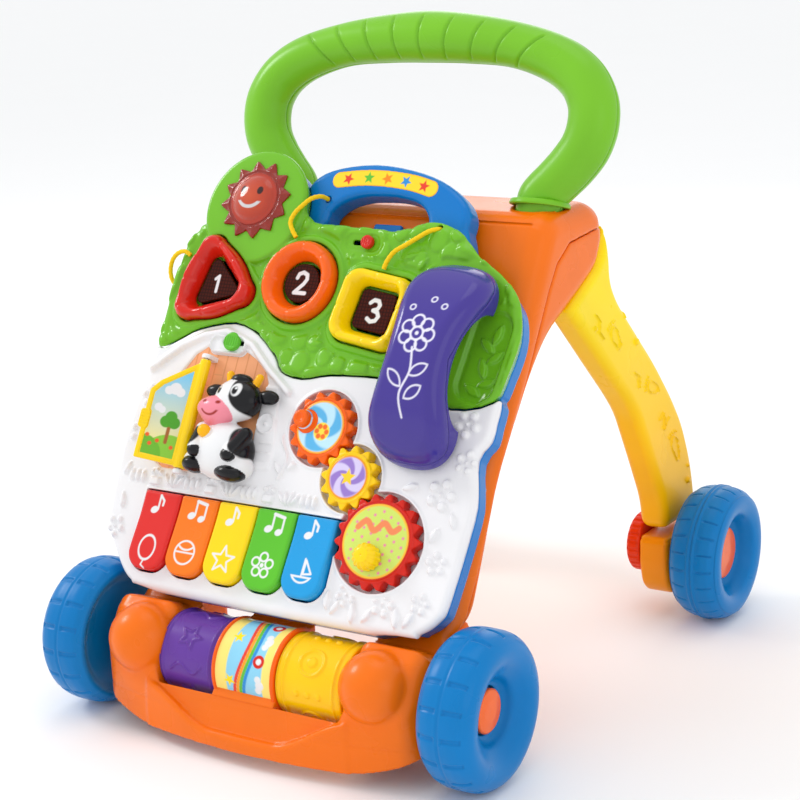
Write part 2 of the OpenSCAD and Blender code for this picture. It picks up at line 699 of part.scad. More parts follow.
color(orange) mirror([1, 0, 0]) rear_wheel_place() cap(rear_cap_r);  // cap_rear_left
color(red) speed_knob();  // speed_knob_right
color(red) mirror([1, 0, 0]) speed_knob();  // speed_knob_left
panel_latch();
panel_back();
green_shell();
white_shell();
sun_lens();
circuit_board();
speaker();
battery_cover();
batteries();
panel_screws();
door_pin();
cow();
button(0);  // button_triangle
button(1);  // button_circle
button(2);  // button_square
color(red) ring(0);  // ring_triangle
color(orange) ring(1);  // ring_circle
color(yellow) ring(2);  // ring_square
cord(route_triangle);  // cord_triangle
cord(route_circle);  // cord_circle
cord(route_square);  // cord_square
color(orange) gear(0, 90 / gear_teeth[0])  // gear_orange
    translate([-15, 4, gear_top]) rotate_extrude() polygon([[0, 0], [6.5, 0], [6.5, 3], [5, 6], [0, 7]]);
color(yellow) gear(1, 0);  // gear_yellow
color(red) gear(2, 120 / gear_teeth[2]);  // gear_red
gear_knob();
color(red) key(0);  // key_red
color(orange) key(1);  // key_orange
color(yellow) key(2);  // key_yellow
color(green) key(3);  // key_green
color(blue) key(4);  // key_blue
barn_door();
color(green) slider(mode_at, 7);  // mode_slider
color(red) slider(volume_at, 5);  // volume_slider
color(purple) on_phone() intersection() {  // handset_front
    phone_body();
    phone_upper();
}
color(purple) on_phone() difference() {  // handset_back
    phone_body();
    phone_upper();
}
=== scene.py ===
"""Looks of the baby walker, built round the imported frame.

Shapes are signed distance fields, in mm and in a piece's own axes; skin() turns each into a mesh.
"""
from itertools import product
from math import cos, pi, radians, sin

import bpy
import numpy as np
from mathutils import Matrix


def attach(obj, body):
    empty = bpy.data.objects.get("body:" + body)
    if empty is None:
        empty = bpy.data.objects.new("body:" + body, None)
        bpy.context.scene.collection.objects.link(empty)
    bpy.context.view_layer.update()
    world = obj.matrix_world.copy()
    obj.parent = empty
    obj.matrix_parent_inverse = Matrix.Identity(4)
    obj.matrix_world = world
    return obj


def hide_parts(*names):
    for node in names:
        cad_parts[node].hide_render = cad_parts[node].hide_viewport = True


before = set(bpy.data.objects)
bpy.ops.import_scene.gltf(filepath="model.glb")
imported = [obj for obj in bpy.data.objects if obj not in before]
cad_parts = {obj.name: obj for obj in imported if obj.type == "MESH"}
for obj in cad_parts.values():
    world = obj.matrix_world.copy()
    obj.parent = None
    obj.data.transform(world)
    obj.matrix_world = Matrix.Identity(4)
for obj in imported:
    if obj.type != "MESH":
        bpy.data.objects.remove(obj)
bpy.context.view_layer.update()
COARSE = 1.0
MM = 0.001


# ---- Axes: a 4x4 in mm from a piece's own axes to the object's ----
def axes(origin, x, y, z):
    matrix = np.eye(4)
    matrix[:3, 0], matrix[:3, 1], matrix[:3, 2], matrix[:3, 3] = x, y, z, origin
    return matrix


def turned_about_x(origin, degrees):
    c, s = cos(radians(degrees)), sin(radians(degrees))
    return axes(origin, (1, 0, 0), (0, c, s), (0, -s, c))


def turned_about_z(origin, degrees):
    c, s = cos(radians(degrees)), sin(radians(degrees))
    return axes(origin, (c, s, 0), (-s, c, 0), (0, 0, 1))


def shifted(x, y, z):
    return axes((x, y, z), (1, 0, 0), (0, 1, 0), (0, 0, 1))


WORLD = np.eye(4)
MIRROR = np.diag([-1.0, 1, 1, 1])
PANEL = turned_about_x((0, -188, 100), 60)
HANDLE = turned_about_x((0, 25, 350), 74)


# ---- Fields in a plane ----
union = np.minimum.reduce


def ramp(field, soft):
    """0 outside a field's outline, rising smoothly to 1 at soft mm inside it."""
    t = np.clip(-field / soft, 0, 1)
    return t * t * (3 - 2 * t)


def disc(u, v, at, r):
    return np.hypot(u - at[0], v - at[1]) - r


def pill(u, v, a, b, r):
    eu, ev = b[0] - a[0], b[1] - a[1]
    t = np.clip(((u - a[0]) * eu + (v - a[1]) * ev) / max(eu * eu + ev * ev, 1e-6), 0, 1)
    return np.hypot(u - a[0] - t * eu, v - a[1] - t * ev) - r


def stroke(u, v, points, r):
    """A line through points, 2 r wide."""
    return union([pill(u, v, a, b, r) for a, b in zip(points, points[1:])])


def rect(u, v, at, half, r=0.0, turn=0.0):
    c, s = cos(radians(turn)), sin(radians(turn))
    a = np.abs((u - at[0]) * c + (v - at[1]) * s) - half[0] + r
    b = np.abs((v - at[1]) * c - (u - at[0]) * s) - half[1] + r
    return np.hypot(np.maximum(a, 0), np.maximum(b, 0)) + np.minimum(np.maximum(a, b), 0) - r


def oval(u, v, at, half, turn=0.0):
    c, s = cos(radians(turn)), sin(radians(turn))
    a = ((u - at[0]) * c + (v - at[1]) * s) / half[0]
    b = ((v - at[1]) * c - (u - at[0]) * s) / half[1]
    return (np.hypot(a, b) - 1) * min(half)


def outline(u, v, points):
    """Signed distance to a closed polygon."""
    shape = np.broadcast(u, v).shape
    best, inside = np.full(shape, 1e9, np.float32), np.zeros(shape, bool)
    for (au, av), (bu, bv) in zip(points, np.roll(points, -1, 0)):
        eu, ev = bu - au, bv - av
        t = np.clip(((u - au) * eu + (v - av) * ev) / max(eu * eu + ev * ev, 1e-6), 0, 1)
        best = np.minimum(best, (u - au - t * eu) ** 2 + (v - av - t * ev) ** 2)
        if abs(ev) > 1e-6:
            inside ^= ((av > v) != (bv > v)) & (u < au + eu * (v - av) / ev)
    return np.where(inside, -1, 1) * np.sqrt(best)


def curve(points, steps=6, closed=True):
    """Points along a smooth line through points."""
    p = np.array(points, float)
    if closed:
        p = np.vstack([p[-1:], p, p[:2]])
    else:
        p = np.vstack([p[:1], p, p[-1:]])
    out = []
    for a, b, c, d in zip(p, p[1:], p[2:], p[3:]):
        for t in np.arange(steps) / steps:
            out.append(0.5 * (2 * b + (c - a) * t + (2 * a - 5 * b + 4 * c - d) * t * t
                              + (3 * b - 3 * c + d - a) * t ** 3))
    return np.array(out if closed else out + [p[-2]])


def star(u, v, at, r_in, r_out, rays, turn=0.0):
    angles = radians(turn) + pi * np.arange(2 * rays) / rays
    radii = np.where(np.arange(2 * rays) % 2 == 0, r_out, r_in)
    points = np.stack([at[0] + radii * np.cos(angles), at[1] + radii * np.sin(angles)], 1)
    return outline(u, v, points)


def leaf(u, v, at, length, width, turn):
    """A pointed leaf: where two discs overlap."""
    h, w = length / 2, width / 2
    r = (h * h + w * w) / (2 * w)
    c, s = cos(radians(turn)), sin(radians(turn))
    off = (r - w) * np.array([-s, c])
    return np.maximum(disc(u, v, np.array(at) + off, r), disc(u, v, np.array(at) - off, r))


# ---- Joining fields ----
def both(a, b, r=0.001):
    """Where a and b overlap, with its edge rounded to r."""
    return np.minimum(np.maximum(a, b), -r) + np.hypot(np.maximum(a + r, 0), np.maximum(b + r, 0))


def either(a, b, r=0.001):
    """a and b joined, with a fillet of r between them."""
    return np.maximum(np.minimum(a, b), r) - np.hypot(np.maximum(r - a, 0), np.maximum(r - b, 0))


def without(a, b, r=0.001):
    return both(a, -b, r)


def slab(field, n, low, high, r=0.001):
    """A plane field given a thickness, its upper edge rounded to r."""
    return np.maximum(both(field, n - high, r), low - n)


def ball(x, y, z, at, r):
    """A ball, or an egg where r is three radii."""
    r = np.broadcast_to(np.array(r, float), 3)
    d = np.sqrt(((x - at[0]) / r[0]) ** 2 + ((y - at[1]) / r[1]) ** 2 + ((z - at[2]) / r[2]) ** 2)
    return (d - 1) * r.min()


# ---- Meshes ----
def grid(low, high, step):
    """The field's sample places as three arrays that broadcast together, with the step."""
    step = np.broadcast_to(np.array(step, float), 3) * COARSE
    x, y, z = (np.arange(a, b + s, s) for a, b, s in zip(low, high, step))
    lines = x[:, None, None], y[None, :, None], z[None, None, :]
    return (*[line.astype(np.float32) for line in lines], (np.array(low, float), step))


def both_halves(field, samples):
    """A field sampled from x = 0, with its mirror image added."""
    low, step = samples
    return np.concatenate([field[:0:-1], field]), (low - [(len(field) - 1) * step[0], 0, 0], step)


def mesh_object(name, points, faces, place):
    """faces is an array of quads, or a list of polygons."""
    world = (points @ place[:3, :3].T + place[:3, 3]) * MM
    flip = np.linalg.det(place[:3, :3]) < 0
    mesh = bpy.data.meshes.new(name)
    if isinstance(faces, list):
        mesh.from_pydata(world.tolist(), [], [f[::-1] if flip else f for f in faces])
    else:
        quads = (faces[:, ::-1] if flip else faces).astype(np.int32)
        mesh.vertices.add(len(world))
        mesh.vertices.foreach_set("co", world.astype(np.float32).ravel())
        mesh.loops.add(quads.size)
        mesh.loops.foreach_set("vertex_index", quads.ravel())
        mesh.polygons.add(len(quads))
        mesh.polygons.foreach_set("loop_start", np.arange(0, quads.size, 4, dtype=np.int32))
    mesh.update(calc_edges=True)
    mesh.polygons.foreach_set("use_smooth", np.ones(len(mesh.polygons), bool))
    piece = bpy.data.objects.new(name, mesh)
    bpy.context.scene.collection.objects.link(piece)
    return piece


def skin(name, field, samples, place=WORLD, paint=None):
    """A closed mesh where field crosses 0. paint gives each of its points, in mm, a colour."""
    low, step = samples
    field = np.where(np.abs(field) < 0.02, np.where(field < 0, -0.02, 0.02), field)
    inside = field < 0
    shape = np.array(field.shape)
    corners = list(product((0, 1), repeat=3))
    count = sum(inside[tuple(slice(c, n - 1 + c) for c, n in zip(corner, shape))].astype(np.int8)
                for corner in corners)
    cells = np.argwhere((count > 0) & (count < 8))
    number = np.full(shape - 1, -1, np.int32)
    number[tuple(cells.T)] = np.arange(len(cells))
    value = {c: field[tuple((cells + c).T)] for c in corners}
    total, hits = np.zeros((len(cells), 3)), np.zeros(len(cells))
    for corner, axis in product(corners, range(3)):
        if corner[axis] == 0:
            a = value[corner]
            b = value[tuple(c + (k == axis) for k, c in enumerate(corner))]
            cut = (a < 0) != (b < 0)
            share = np.where(cut, a / np.where(cut, a - b, 1), 0)
            total[cut] += corner
            total[:, axis] += share
            hits += cut
    points = low + step * (cells + total / hits[:, None])
    quads = []
    for axis in range(3):
        p, q = (axis + 1) % 3, (axis + 2) % 3
        lower = np.take(inside, range(shape[axis] - 1), axis)
        upper = np.take(inside, range(1, shape[axis]), axis)
        edges = np.argwhere(lower != upper)
        out = lower[tuple(edges.T)]
        loop = []
        for dp, dq in ((-1, -1), (0, -1), (0, 0), (-1, 0)):
            cell = edges.copy()
            cell[:, p] += dp
            cell[:, q] += dq
            loop.append(number[tuple(cell.T)])
        loop = np.stack(loop, 1)
        loop[~out] = loop[~out][:, ::-1]
        quads.append(loop)
    piece = mesh_object(name, points, np.vstack(quads), place)
    if paint:
        coloured(piece, paint(*points.T))
    return piece


def coloured(piece, colours):
    layer = piece.data.color_attributes.new("print", "FLOAT_COLOR", "POINT")
    rgba = np.ones((len(colours), 4), np.float32)
    rgba[:, :3] = colours
    layer.data.foreach_set("color", rgba.ravel())


def swept(name, rings, place, closed=False, caps=True):
    """A mesh through rings, an array of loops of points; closed joins the last ring to the first."""
    count, m = rings.shape[:2]
    faces = []
    for i in range(count if closed else count - 1):
        for k in range(m):
            a, b = i * m, ((i + 1) % count) * m
            faces.append([a + k, a + (k + 1) % m, b + (k + 1) % m, b + k])
    if caps and not closed:
        faces += [list(range(m))[::-1], list(range((count - 1) * m, count * m))]
    return mesh_object(name, rings.reshape(-1, 3), faces, place)


def lathe(name, profile, sides, place, dent=None):
    """A closed profile of (radius, height) points spun about x; dent(angle, r, h) shifts radii."""
    angle = 2 * pi * np.arange(sides) / sides
    r, h = np.array(profile, float).T
    radius = np.broadcast_to(r, (sides, len(r))).copy()
    if dent:
        radius += dent(angle[:, None], r[None, :], h[None, :])
    rings = np.stack([np.broadcast_to(h, radius.shape), radius * np.cos(angle)[:, None],
                      radius * np.sin(angle)[:, None]], 2)
    return swept(name, rings, place, closed=True)


def rounded(points, r=1.5, steps=4, fine=0.0):
    """A closed polygon with each corner cut by a curve of about r, and long sides split at fine."""
    p = np.array(points, float)
    out = []
    for before, at, after in zip(np.roll(p, 1, 0), p, np.roll(p, -1, 0)):
        a, b = before - at, after - at
        cut = min(r, np.linalg.norm(a) * 0.45, np.linalg.norm(b) * 0.45)
        a, b = at + a / np.linalg.norm(a) * cut, at + b / np.linalg.norm(b) * cut
        for t in np.linspace(0, 1, steps + 1):
            out.append((1 - t) ** 2 * a + 2 * t * (1 - t) * at + t * t * b)
    if not fine:
        return np.array(out)
    split = []
    for a, b in zip(out, np.roll(out, -1, 0)):
        parts = max(1, int(np.linalg.norm(b - a) / fine))
        split += [a + (b - a) * k / parts for k in range(parts)]
    return np.array(split)


# ---- Colours and materials ----
def srgb(code):
    value = np.array([int(code[k:k + 2], 16) for k in (0, 2, 4)]) / 255
    return np.where(value < 0.04045, value / 12.92, ((value + 0.055) / 1.055) ** 2.4)


ORANGE, DEEP_ORANGE, PEACH = srgb("F57204"), srgb("F86408"), srgb("F2A878")
GREEN, BLUE, WHITE = srgb("78BE28"), srgb("0076C6"), srgb("EBEBEC")
PURPLE, VIOLET = srgb("403090"), srgb("663A9E")
YELLOW, GOLD, RED = srgb("FFE100"), srgb("FFB800"), srgb("D4200F")
DARK_RED, BLACK, PINK = srgb("9C2416"), srgb("101014"), srgb("F08C9C")


def mixed(ground, field, colour, soft=0.25):
    """Colour laid over ground where field is inside, with an edge soft mm wide."""
    share = np.clip(0.5 - field / (2 * soft), 0, 1)[..., None]
    return ground * (1 - share) + colour * share


def node(tree, kind, **inputs):
    made = tree.nodes.new("ShaderNode" + kind)
    for key, value in inputs.items():
        made.inputs[key.replace("_", " ")].default_value = value
    return made


def plastic(name, colour=None, rough=0.24, grain=0.00003, grain_scale=900, coat=0.12, metallic=0.0,
            see=0.0, shine=0.22):
    """Moulded plastic: uneven gloss, fine grain and faint flow marks. No colour means painted points."""
    material = bpy.data.materials.new(name)
    material.use_nodes = True
    tree = material.node_tree
    shader = tree.nodes["Principled BSDF"]
    link = tree.links.new
    place = tree.nodes.new("ShaderNodeTexCoord").outputs["Object"]
    broad, fine = node(tree, "TexNoise", Scale=22.0, Detail=3.0), node(tree, "TexNoise", Scale=grain_scale)
    flow = node(tree, "TexNoise", Scale=7.0, Detail=2.0, Distortion=1.2)
    for noise in (broad, fine, flow):
        link(place, noise.inputs["Vector"])
    gloss = node(tree, "MapRange", From_Min=0.3, From_Max=0.7, To_Min=rough - 0.05, To_Max=rough + 0.07)
    link(broad.outputs["Fac"], gloss.inputs["Value"])
    link(gloss.outputs["Result"], shader.inputs["Roughness"])
    bump = node(tree, "Bump", Strength=0.25, Distance=grain)
    link(fine.outputs["Fac"], bump.inputs["Height"])
    link(bump.outputs["Normal"], shader.inputs["Normal"])
    tint = node(tree, "Mix")
    tint.data_type, tint.blend_type = "RGBA", "MULTIPLY"
    tint.inputs["Factor"].default_value = 1.0
    shade = node(tree, "MapRange", From_Min=0.3, From_Max=0.7, To_Min=0.93, To_Max=1.04)
    link(flow.outputs["Fac"], shade.inputs["Value"])
    link(shade.outputs["Result"], tint.inputs["B"])
    if colour is None:
        ink = tree.nodes.new("ShaderNodeVertexColor")
        ink.layer_name = "print"
        link(ink.outputs["Color"], tint.inputs["A"])
    else:
        tint.inputs["A"].default_value = (*colour, 1)
    link(tint.outputs["Result"], shader.inputs["Base Color"])
    shader.inputs["Specular IOR Level"].default_value = shine
    shader.inputs["Coat Weight"].default_value = coat
    shader.inputs["Coat Roughness"].default_value = 0.12
    shader.inputs["Metallic"].default_value = metallic
    shader.inputs["Transmission Weight"].default_value = see
    return material


ORANGE_SHELL = plastic("orange_shell", ORANGE, rough=0.27)
GREEN_HANDLE = plastic("green_handle", GREEN, rough=0.3, grain=0.00006, coat=0.05)
GREEN_SHELL = plastic("green_shell", srgb("6FB820"), rough=0.2, coat=0.25)
WHITE_SHELL = plastic("white_shell", srgb("EEEDEF"), rough=0.22, coat=0.25)
BLUE_SHELL = plastic("blue_shell", BLUE, rough=0.24)
BLUE_TYRE = plastic("blue_tyre", srgb("0078BE"), rough=0.3, grain=0.00008, coat=0.0, shine=0.2)
YELLOW_LEG = plastic("yellow_leg", rough=0.3, coat=0.05)
AMBER_FOOT = plastic("amber_foot", srgb("F99C08"), rough=0.3, coat=0.05)
RED_TOY = plastic("red_toy", RED, rough=0.18, coat=0.3)
ORANGE_TOY = plastic("orange_toy", DEEP_ORANGE, rough=0.18, coat=0.3)
YELLOW_TOY = plastic("yellow_toy", srgb("FFD600"), rough=0.18, coat=0.3)
GREEN_TOY = plastic("green_toy", srgb("5DBB2A"), rough=0.18, coat=0.3)
VIOLET_DRUM = plastic("violet_drum", VIOLET, rough=0.26)
GOLD_DRUM = plastic("gold_drum", srgb("FFC800"), rough=0.26)
PURPLE_PHONE = plastic("purple_phone", PURPLE, rough=0.16, coat=0.4)
PHONE_PRINT = plastic("phone_print", rough=0.16, coat=0.4)
KNOB_RED = plastic("knob_red", srgb("EA3C0A"), rough=0.3, coat=0.05)
PRINTED = plastic("printed", rough=0.22, coat=0.15)
WINDOW = plastic("window", rough=0.1, coat=0.0, shine=0.12)
LENS = plastic("lens", rough=0.08, coat=0.5, see=0.25)
STEEL = plastic("steel", (0.55, 0.55, 0.57), rough=0.3, metallic=1.0, coat=0.0, grain_scale=2500, shine=0.5)
BOARD = plastic("board", (0.02, 0.16, 0.07), rough=0.4)
DARK = plastic("dark", (0.02, 0.02, 0.025), rough=0.5, coat=0.0)
CORD = plastic("cord_fibre", srgb("F8CC10"), rough=0.6, grain=0.0002, grain_scale=2600, coat=0.0)


def paper():
    """A plain pale floor with a barely uneven tone."""
    material = bpy.data.materials.new("paper")
    material.use_nodes = True
    tree = material.node_tree
    noise = node(tree, "TexNoise", Scale=3.0, Detail=1.0)
    tree.links.new(tree.nodes.new("ShaderNodeTexCoord").outputs["Object"], noise.inputs["Vector"])
    tone = node(tree, "MapRange", To_Min=0.945, To_Max=0.955)
    tree.links.new(noise.outputs["Fac"], tone.inputs["Value"])
    tree.links.new(tone.outputs["Result"], tree.nodes["Principled BSDF"].inputs["Base Color"])
    tree.nodes["Principled BSDF"].inputs["Roughness"].default_value = 0.8
    tree.nodes["Principled BSDF"].inputs["Specular IOR Level"].default_value = 0.1
    return material


def done(piece, material, body, slot, *nodes):
    piece.data.materials.append(material)
    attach(piece, body)
    if nodes:
        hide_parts(*nodes)
    return piece


# ---- Studio ----
FLOOR_HALF = 40000


def studio():
    az, el, roll = radians(33.18), radians(14.84), radians(-2.65)
    back = np.array([sin(az) * cos(el), -cos(az) * cos(el), sin(el)])
    level = np.array([cos(az), sin(az), 0])
    upright = np.array([-sin(az) * sin(el), cos(az) * sin(el), cos(el)])
    right, up = cos(roll) * level + sin(roll) * upright, cos(roll) * upright - sin(roll) * level
    camera = bpy.data.objects.new("camera", bpy.data.cameras.new("camera"))
    camera.matrix_world = Matrix(axes((0.7498, -1.1519, 0.5682), right, up, back).tolist())
    camera.data.lens, camera.data.sensor_width = 84.73, 36
    bpy.context.scene.collection.objects.link(camera)
    bpy.context.scene.camera = camera
    world = bpy.data.worlds.new("world")
    world.use_nodes = True
    world.node_tree.nodes["Background"].inputs["Color"].default_value = (0.98, 0.99, 1, 1)
    world.node_tree.nodes["Background"].inputs["Strength"].default_value = 1.0
    bpy.context.scene.world = world
    bpy.context.scene.view_settings.view_transform = "Standard"
    for name, at, size, power in (("key", (-1.9, -0.5, 1.6), 0.7, 15), ("fill", (1.9, -0.9, 0.9), 1.2, 2),
                                  ("top", (0.1, 0.2, 2.2), 1.2, 3), ("behind", (-0.8, 1.7, 1.1), 1.0, 3)):
        lamp = bpy.data.lights.new(name, "AREA")
        lamp.shape, lamp.size, lamp.energy = "DISK", size, power
        light = bpy.data.objects.new(name, lamp)
        light.location = at
        light.rotation_euler = (Matrix.Translation((0, 0, 0.2)).translation
                                - light.location).to_track_quat("-Z", "Y").to_euler()
        bpy.context.scene.collection.objects.link(light)
    points = FLOOR_HALF * np.array([(-1, -1, 0), (1, -1, 0), (1, 1, 0), (-1, 1, 0)], float)
    floor = mesh_object("floor", points, [[0, 1, 2, 3]], WORLD)
    floor.data.materials.append(paper())


studio()


# ---- Cords: three strands twisted round the route ----
CORD_R = 1.75
ROUTES = {
    "triangle": [[-142, 250, 3], [-147, 252, 5], [-153, 250, 5], [-158, 245, 3], [-160, 238, 0],
                 [-159, 232, -3], [-156.5, 229, -5]],
    "circle": [[-49, 269, 5], [-53, 274, 6.5], [-56, 280, 7], [-54, 287, 7], [-49, 293, 7],
               [-44, 299, 5.5], [-40, 303, 0], [-39, 304, -8]],
    "square": [[32, 250, 5], [34, 256, 6], [38, 263, 6], [46, 269, 5.5], [54, 275, 5],
               [61, 280, 4.5], [66, 283, 1.5], [67, 284, -3]]}


def cord(kind):
    line = curve(ROUTES[kind], 12, closed=False)
    along = np.gradient(line, axis=0)
    along /= np.linalg.norm(along, axis=1)[:, None]
    across = np.cross(along, [0.3, 0.2, 1])
    across /= np.linalg.norm(across, axis=1)[:, None]
    over = np.cross(along, across)
    far = np.concatenate([[0], np.cumsum(np.linalg.norm(np.diff(line, axis=0), axis=1))])
    angle = 2 * pi * np.arange(18) / 18
    twist = far[:, None] / 1.6
    r = CORD_R * (0.86 + 0.14 * np.abs(np.cos(1.5 * (angle[None] - twist))))
    rings = (line[:, None] + across[:, None] * (r * np.cos(angle))[..., None]
             + over[:, None] * (r * np.sin(angle))[..., None])
    piece = done(swept("cord_rope_" + kind, rings, PANEL), CORD, "panel", "cord_yellow", "cord_" + kind)


for kind in ROUTES:
    cord(kind)


# ---- Frame: column, base, rollers' bay ----
NOSE_AT, NOSE_R, COLUMN_HALF, POD_IN = (0, 232), 460, 134, 78
COLUMN = [(-162, 85), (-8, 352), (60, 352), (74, 345), (79, 328), (78, 318), (68, 299), (26, 279),
          (-9, 265), (-36, 240), (-83, 180), (-126, 92)]
SPLIT = [(-160, 65), (-141, 97), (-12, 300), (0, 316), (20, 328), (60, 331), (90, 331)]
POD = [(-226, 0), (-225, 22), (-222, 42), (-214, 58), (-204, 72), (-195, 86), (-187, 92.5), (-178, 89),
       (-167, 83), (-158, 89), (-126, 94), (-126, 0)]


def column(x, y, z):
    side = outline(y, z, curve(rounded(COLUMN, 16), 2))
    return both(side, x - COLUMN_HALF, 16)


def split_field(y, z):
    """Negative in front of the parting line."""
    return outline(y, z, SPLIT + [(90, 500), (-400, 500), (-400, 65)])


def front_housing():
    x, y, z, samples = grid((0, -232, 8), (137, 82, 355), (1.6, 1.35, 1.35))
    nose = np.hypot(x, y - NOSE_AT[1]) - NOSE_R
    upright = both(column(x, y, z), split_field(y, z) + 0.3, 1.2)
    pod = both(both(both(outline(y, z, POD), nose, 7), x - COLUMN_HALF, 14), POD_IN - x, 9)
    pod = either(pod, ball(x, y, z, (99, -202, 68), 25), 2.5)
    rise = np.clip((x - 26) / 60, 0, 1)
    lip_top = 20 + 25 * rise * rise * (3 - 2 * rise)
    lip = both(np.abs(nose + 2.6) - 2.6, z - lip_top, 2.4)
    lip = np.maximum(lip, x - POD_IN - 6)
    scoop = 14 + 28 * np.clip((y + 223) / 8, 0, 1) ** 1.5 + (lip_top - 20) * 0.9 * ramp(y + 218, 6)
    tray = both(np.abs(z - scoop) * 0.28 - 1.3, np.maximum(nose + 2, y + 215.2), 0.8)
    tray = np.maximum(tray, x - POD_IN - 6)
    whole = either(either(pod, upright, 7), either(lip, tray, 3), 4)
    shell = without(whole, whole + 4)
    shell = either(shell, either(lip, tray, 3), 1)
    shell = np.maximum(shell, 10 + 15 * np.clip((x - 75) / 60, 0, 1) ** 2 - z)
    seam = np.abs(z - 31) + np.maximum(-nose - 4, 0)
    shell = shell + 0.7 * ramp(seam - 1.4, 1.4)
    shell = without(shell, np.hypot(y + 184, z - 57) - 3.2 + 0 * x)
    neck = np.hypot(x - 107, (y - 25 + (z - 350) * 0.287) * 0.96) - 17.4
    shell = without(shell, np.maximum(neck, 300 - z))
    hub = both(np.hypot(y + 174, z - 54) - 9 + 0 * x, np.maximum(x - 133, 112 - x))
    shell = without(either(shell, hub, 1), np.hypot(y + 174, z - 54) - 4.1 + 0 * x)
    done(skin("front_housing", *both_halves(shell, samples)), ORANGE_SHELL, "frame", "frame_orange",
         "front_shell")


front_housing()


WELLS = ((-105, 135), (-59.5, 210), (-21, 254))


def rear_housing():
    x, y, z, samples = grid((0, -165, 64), (137, 84, 352), (1.8, 1.4, 1.4))
    body = column(x, y, z)
    shell = without(body, body + 4)
    shell = both(shell, 0.3 - split_field(y, z), 1.2)
    for at in WELLS:
        lean = (y - at[0]) * 0.9 - (z - at[1]) * 0.44
        along = (y - at[0]) * 0.44 + (z - at[1]) * 0.9
        well = both(np.hypot(x - 112, along) - 5.2, np.abs(lean) - 12)
        boss = both(np.hypot(x - 112, along) - 8.5, np.abs(lean + 4) - 9)
        shell = without(either(shell, np.maximum(boss, body + 0.5), 2), well, 1)
    for row in range(5):
        slot = rect(x, z, (0, 150 + 16 * row), (44 - 4 * row, 2.2), 2.2)
        shell = without(shell, slot + 0 * y, 0.8)
    done(skin("rear_housing", *both_halves(shell, samples)), ORANGE_SHELL, "frame", "frame_orange",
         "rear_shell")


rear_housing()


def well_screws():
    """Pan-headed screws at the bottom of the rear housing's wells."""
    for k, (side, at) in enumerate(product((-1, 1), WELLS)):
        a, b, n, samples = grid((-5, -5, -23), (5, 5, -7), (0.35, 0.35, 0.4))
        far = np.hypot(a, b)
        cross = np.minimum(rect(a, b, (0, 0), (2.4, 0.5)), rect(a, b, (0, 0), (0.5, 2.4)))
        head = without(both(far - 4, np.abs(n + 10.4) - 1.4, 0.9), np.maximum(cross, -10 - n), 0.1)
        body = np.minimum(head, np.maximum(far - 1.7, np.abs(n + 16) - 5))
        place = axes((112 * side, *at), (1, 0, 0), (0, -0.438, -0.899), (0, 0.899, -0.438))
        nodes = ("frame_screws",) if k == 0 else ()
        done(skin("well_screw_%d" % (k + 1), body, samples, place), STEEL, "frame", "steel", *nodes)


well_screws()


# ---- Push handle ----
NECK_X = 107
HANDLE_LINE = [(NECK_X, -10), (NECK_X, 2), (107.5, 8), (111.5, 13.5), (119, 21), (130, 33), (139, 47),
               (142.5, 63), (140, 79), (129, 95), (108, 108), (74, 118), (36, 122.5), (0, 124)]
HANDLE_R = [17, 17, 17, 17, 17.2, 17.8, 18.2, 18.4, 18.2, 17.8, 17.2, 16.5, 18, 19]
GRIPS = [-92, -70, -47, -23, 0, 23, 47, 70, 92]


def handle():
    """Two half tubes that meet at a parting line; the front one carries the grip grooves."""
    half = np.column_stack([HANDLE_LINE, HANDLE_R])
    line = curve(np.vstack([half, half[-2::-1] * (-1, 1, 1)]), 36, closed=False)
    line = line[np.r_[True, np.linalg.norm(np.diff(line[:, :2], axis=0), axis=1) > 0.05]]
    at, radius = line[:, :2], line[:, 2]
    along = np.gradient(at, axis=0)
    along /= np.linalg.norm(along, axis=1)[:, None]
    across = np.stack([-along[:, 1], along[:, 0]], 1)
    outer_turn = np.radians(np.r_[0.6, 2.2, np.linspace(6, 174, 43), 177.8, 179.4])
    tuck = np.r_[0.7, 0.15, np.zeros(43), 0.15, 0.7]
    top = at[:, 1] > 85
    for side, name in ((1, "front"), (-1, "rear")):
        r = radius[:, None] - tuck[None]
        if side > 0:
            for x in GRIPS:
                lean = 0.10 * x
                bend = at[:, 0, None] - x - lean * np.cos(outer_turn)[None]
                reach = ramp(np.abs(np.degrees(outer_turn) - 100) - 62, 14)[None]
                r = r - 1.9 * top[:, None] * np.exp(-(bend / 0.9) ** 2) * reach
        inner_turn = np.radians(np.linspace(180, 0, 21))
        turns = np.r_[outer_turn, inner_turn]
        reach = np.hstack([r, np.repeat(radius[:, None] - 2.6, 21, 1)])
        rings = np.empty((len(at), len(turns), 3))
        rings[..., :2] = at[:, None] - across[:, None] * (reach * np.cos(turns))[..., None]
        rings[..., 2] = side * (reach * np.sin(turns) + 0.08)
        if side < 0:
            rings = rings[:, ::-1]
        done(swept("push_handle_" + name, rings, HANDLE), GREEN_HANDLE, "frame", "handle_green",
             "handle_" + name)
    for side in (-1, 1):
        profile = rounded([(16.9, 2.2), (22, 2.2), (22.4, 3.4), (21.2, 6.4), (16.9, 6.6)], 1)
        place = HANDLE @ axes((side * NECK_X, 0, 0), (0, 1, 0), (0, 0, 1), (1, 0, 0))
        done(lathe("handle_collar_%s" % ("left" if side < 0 else "right"), profile, 96, place),
             GREEN_HANDLE, "frame", "handle_green")


handle()


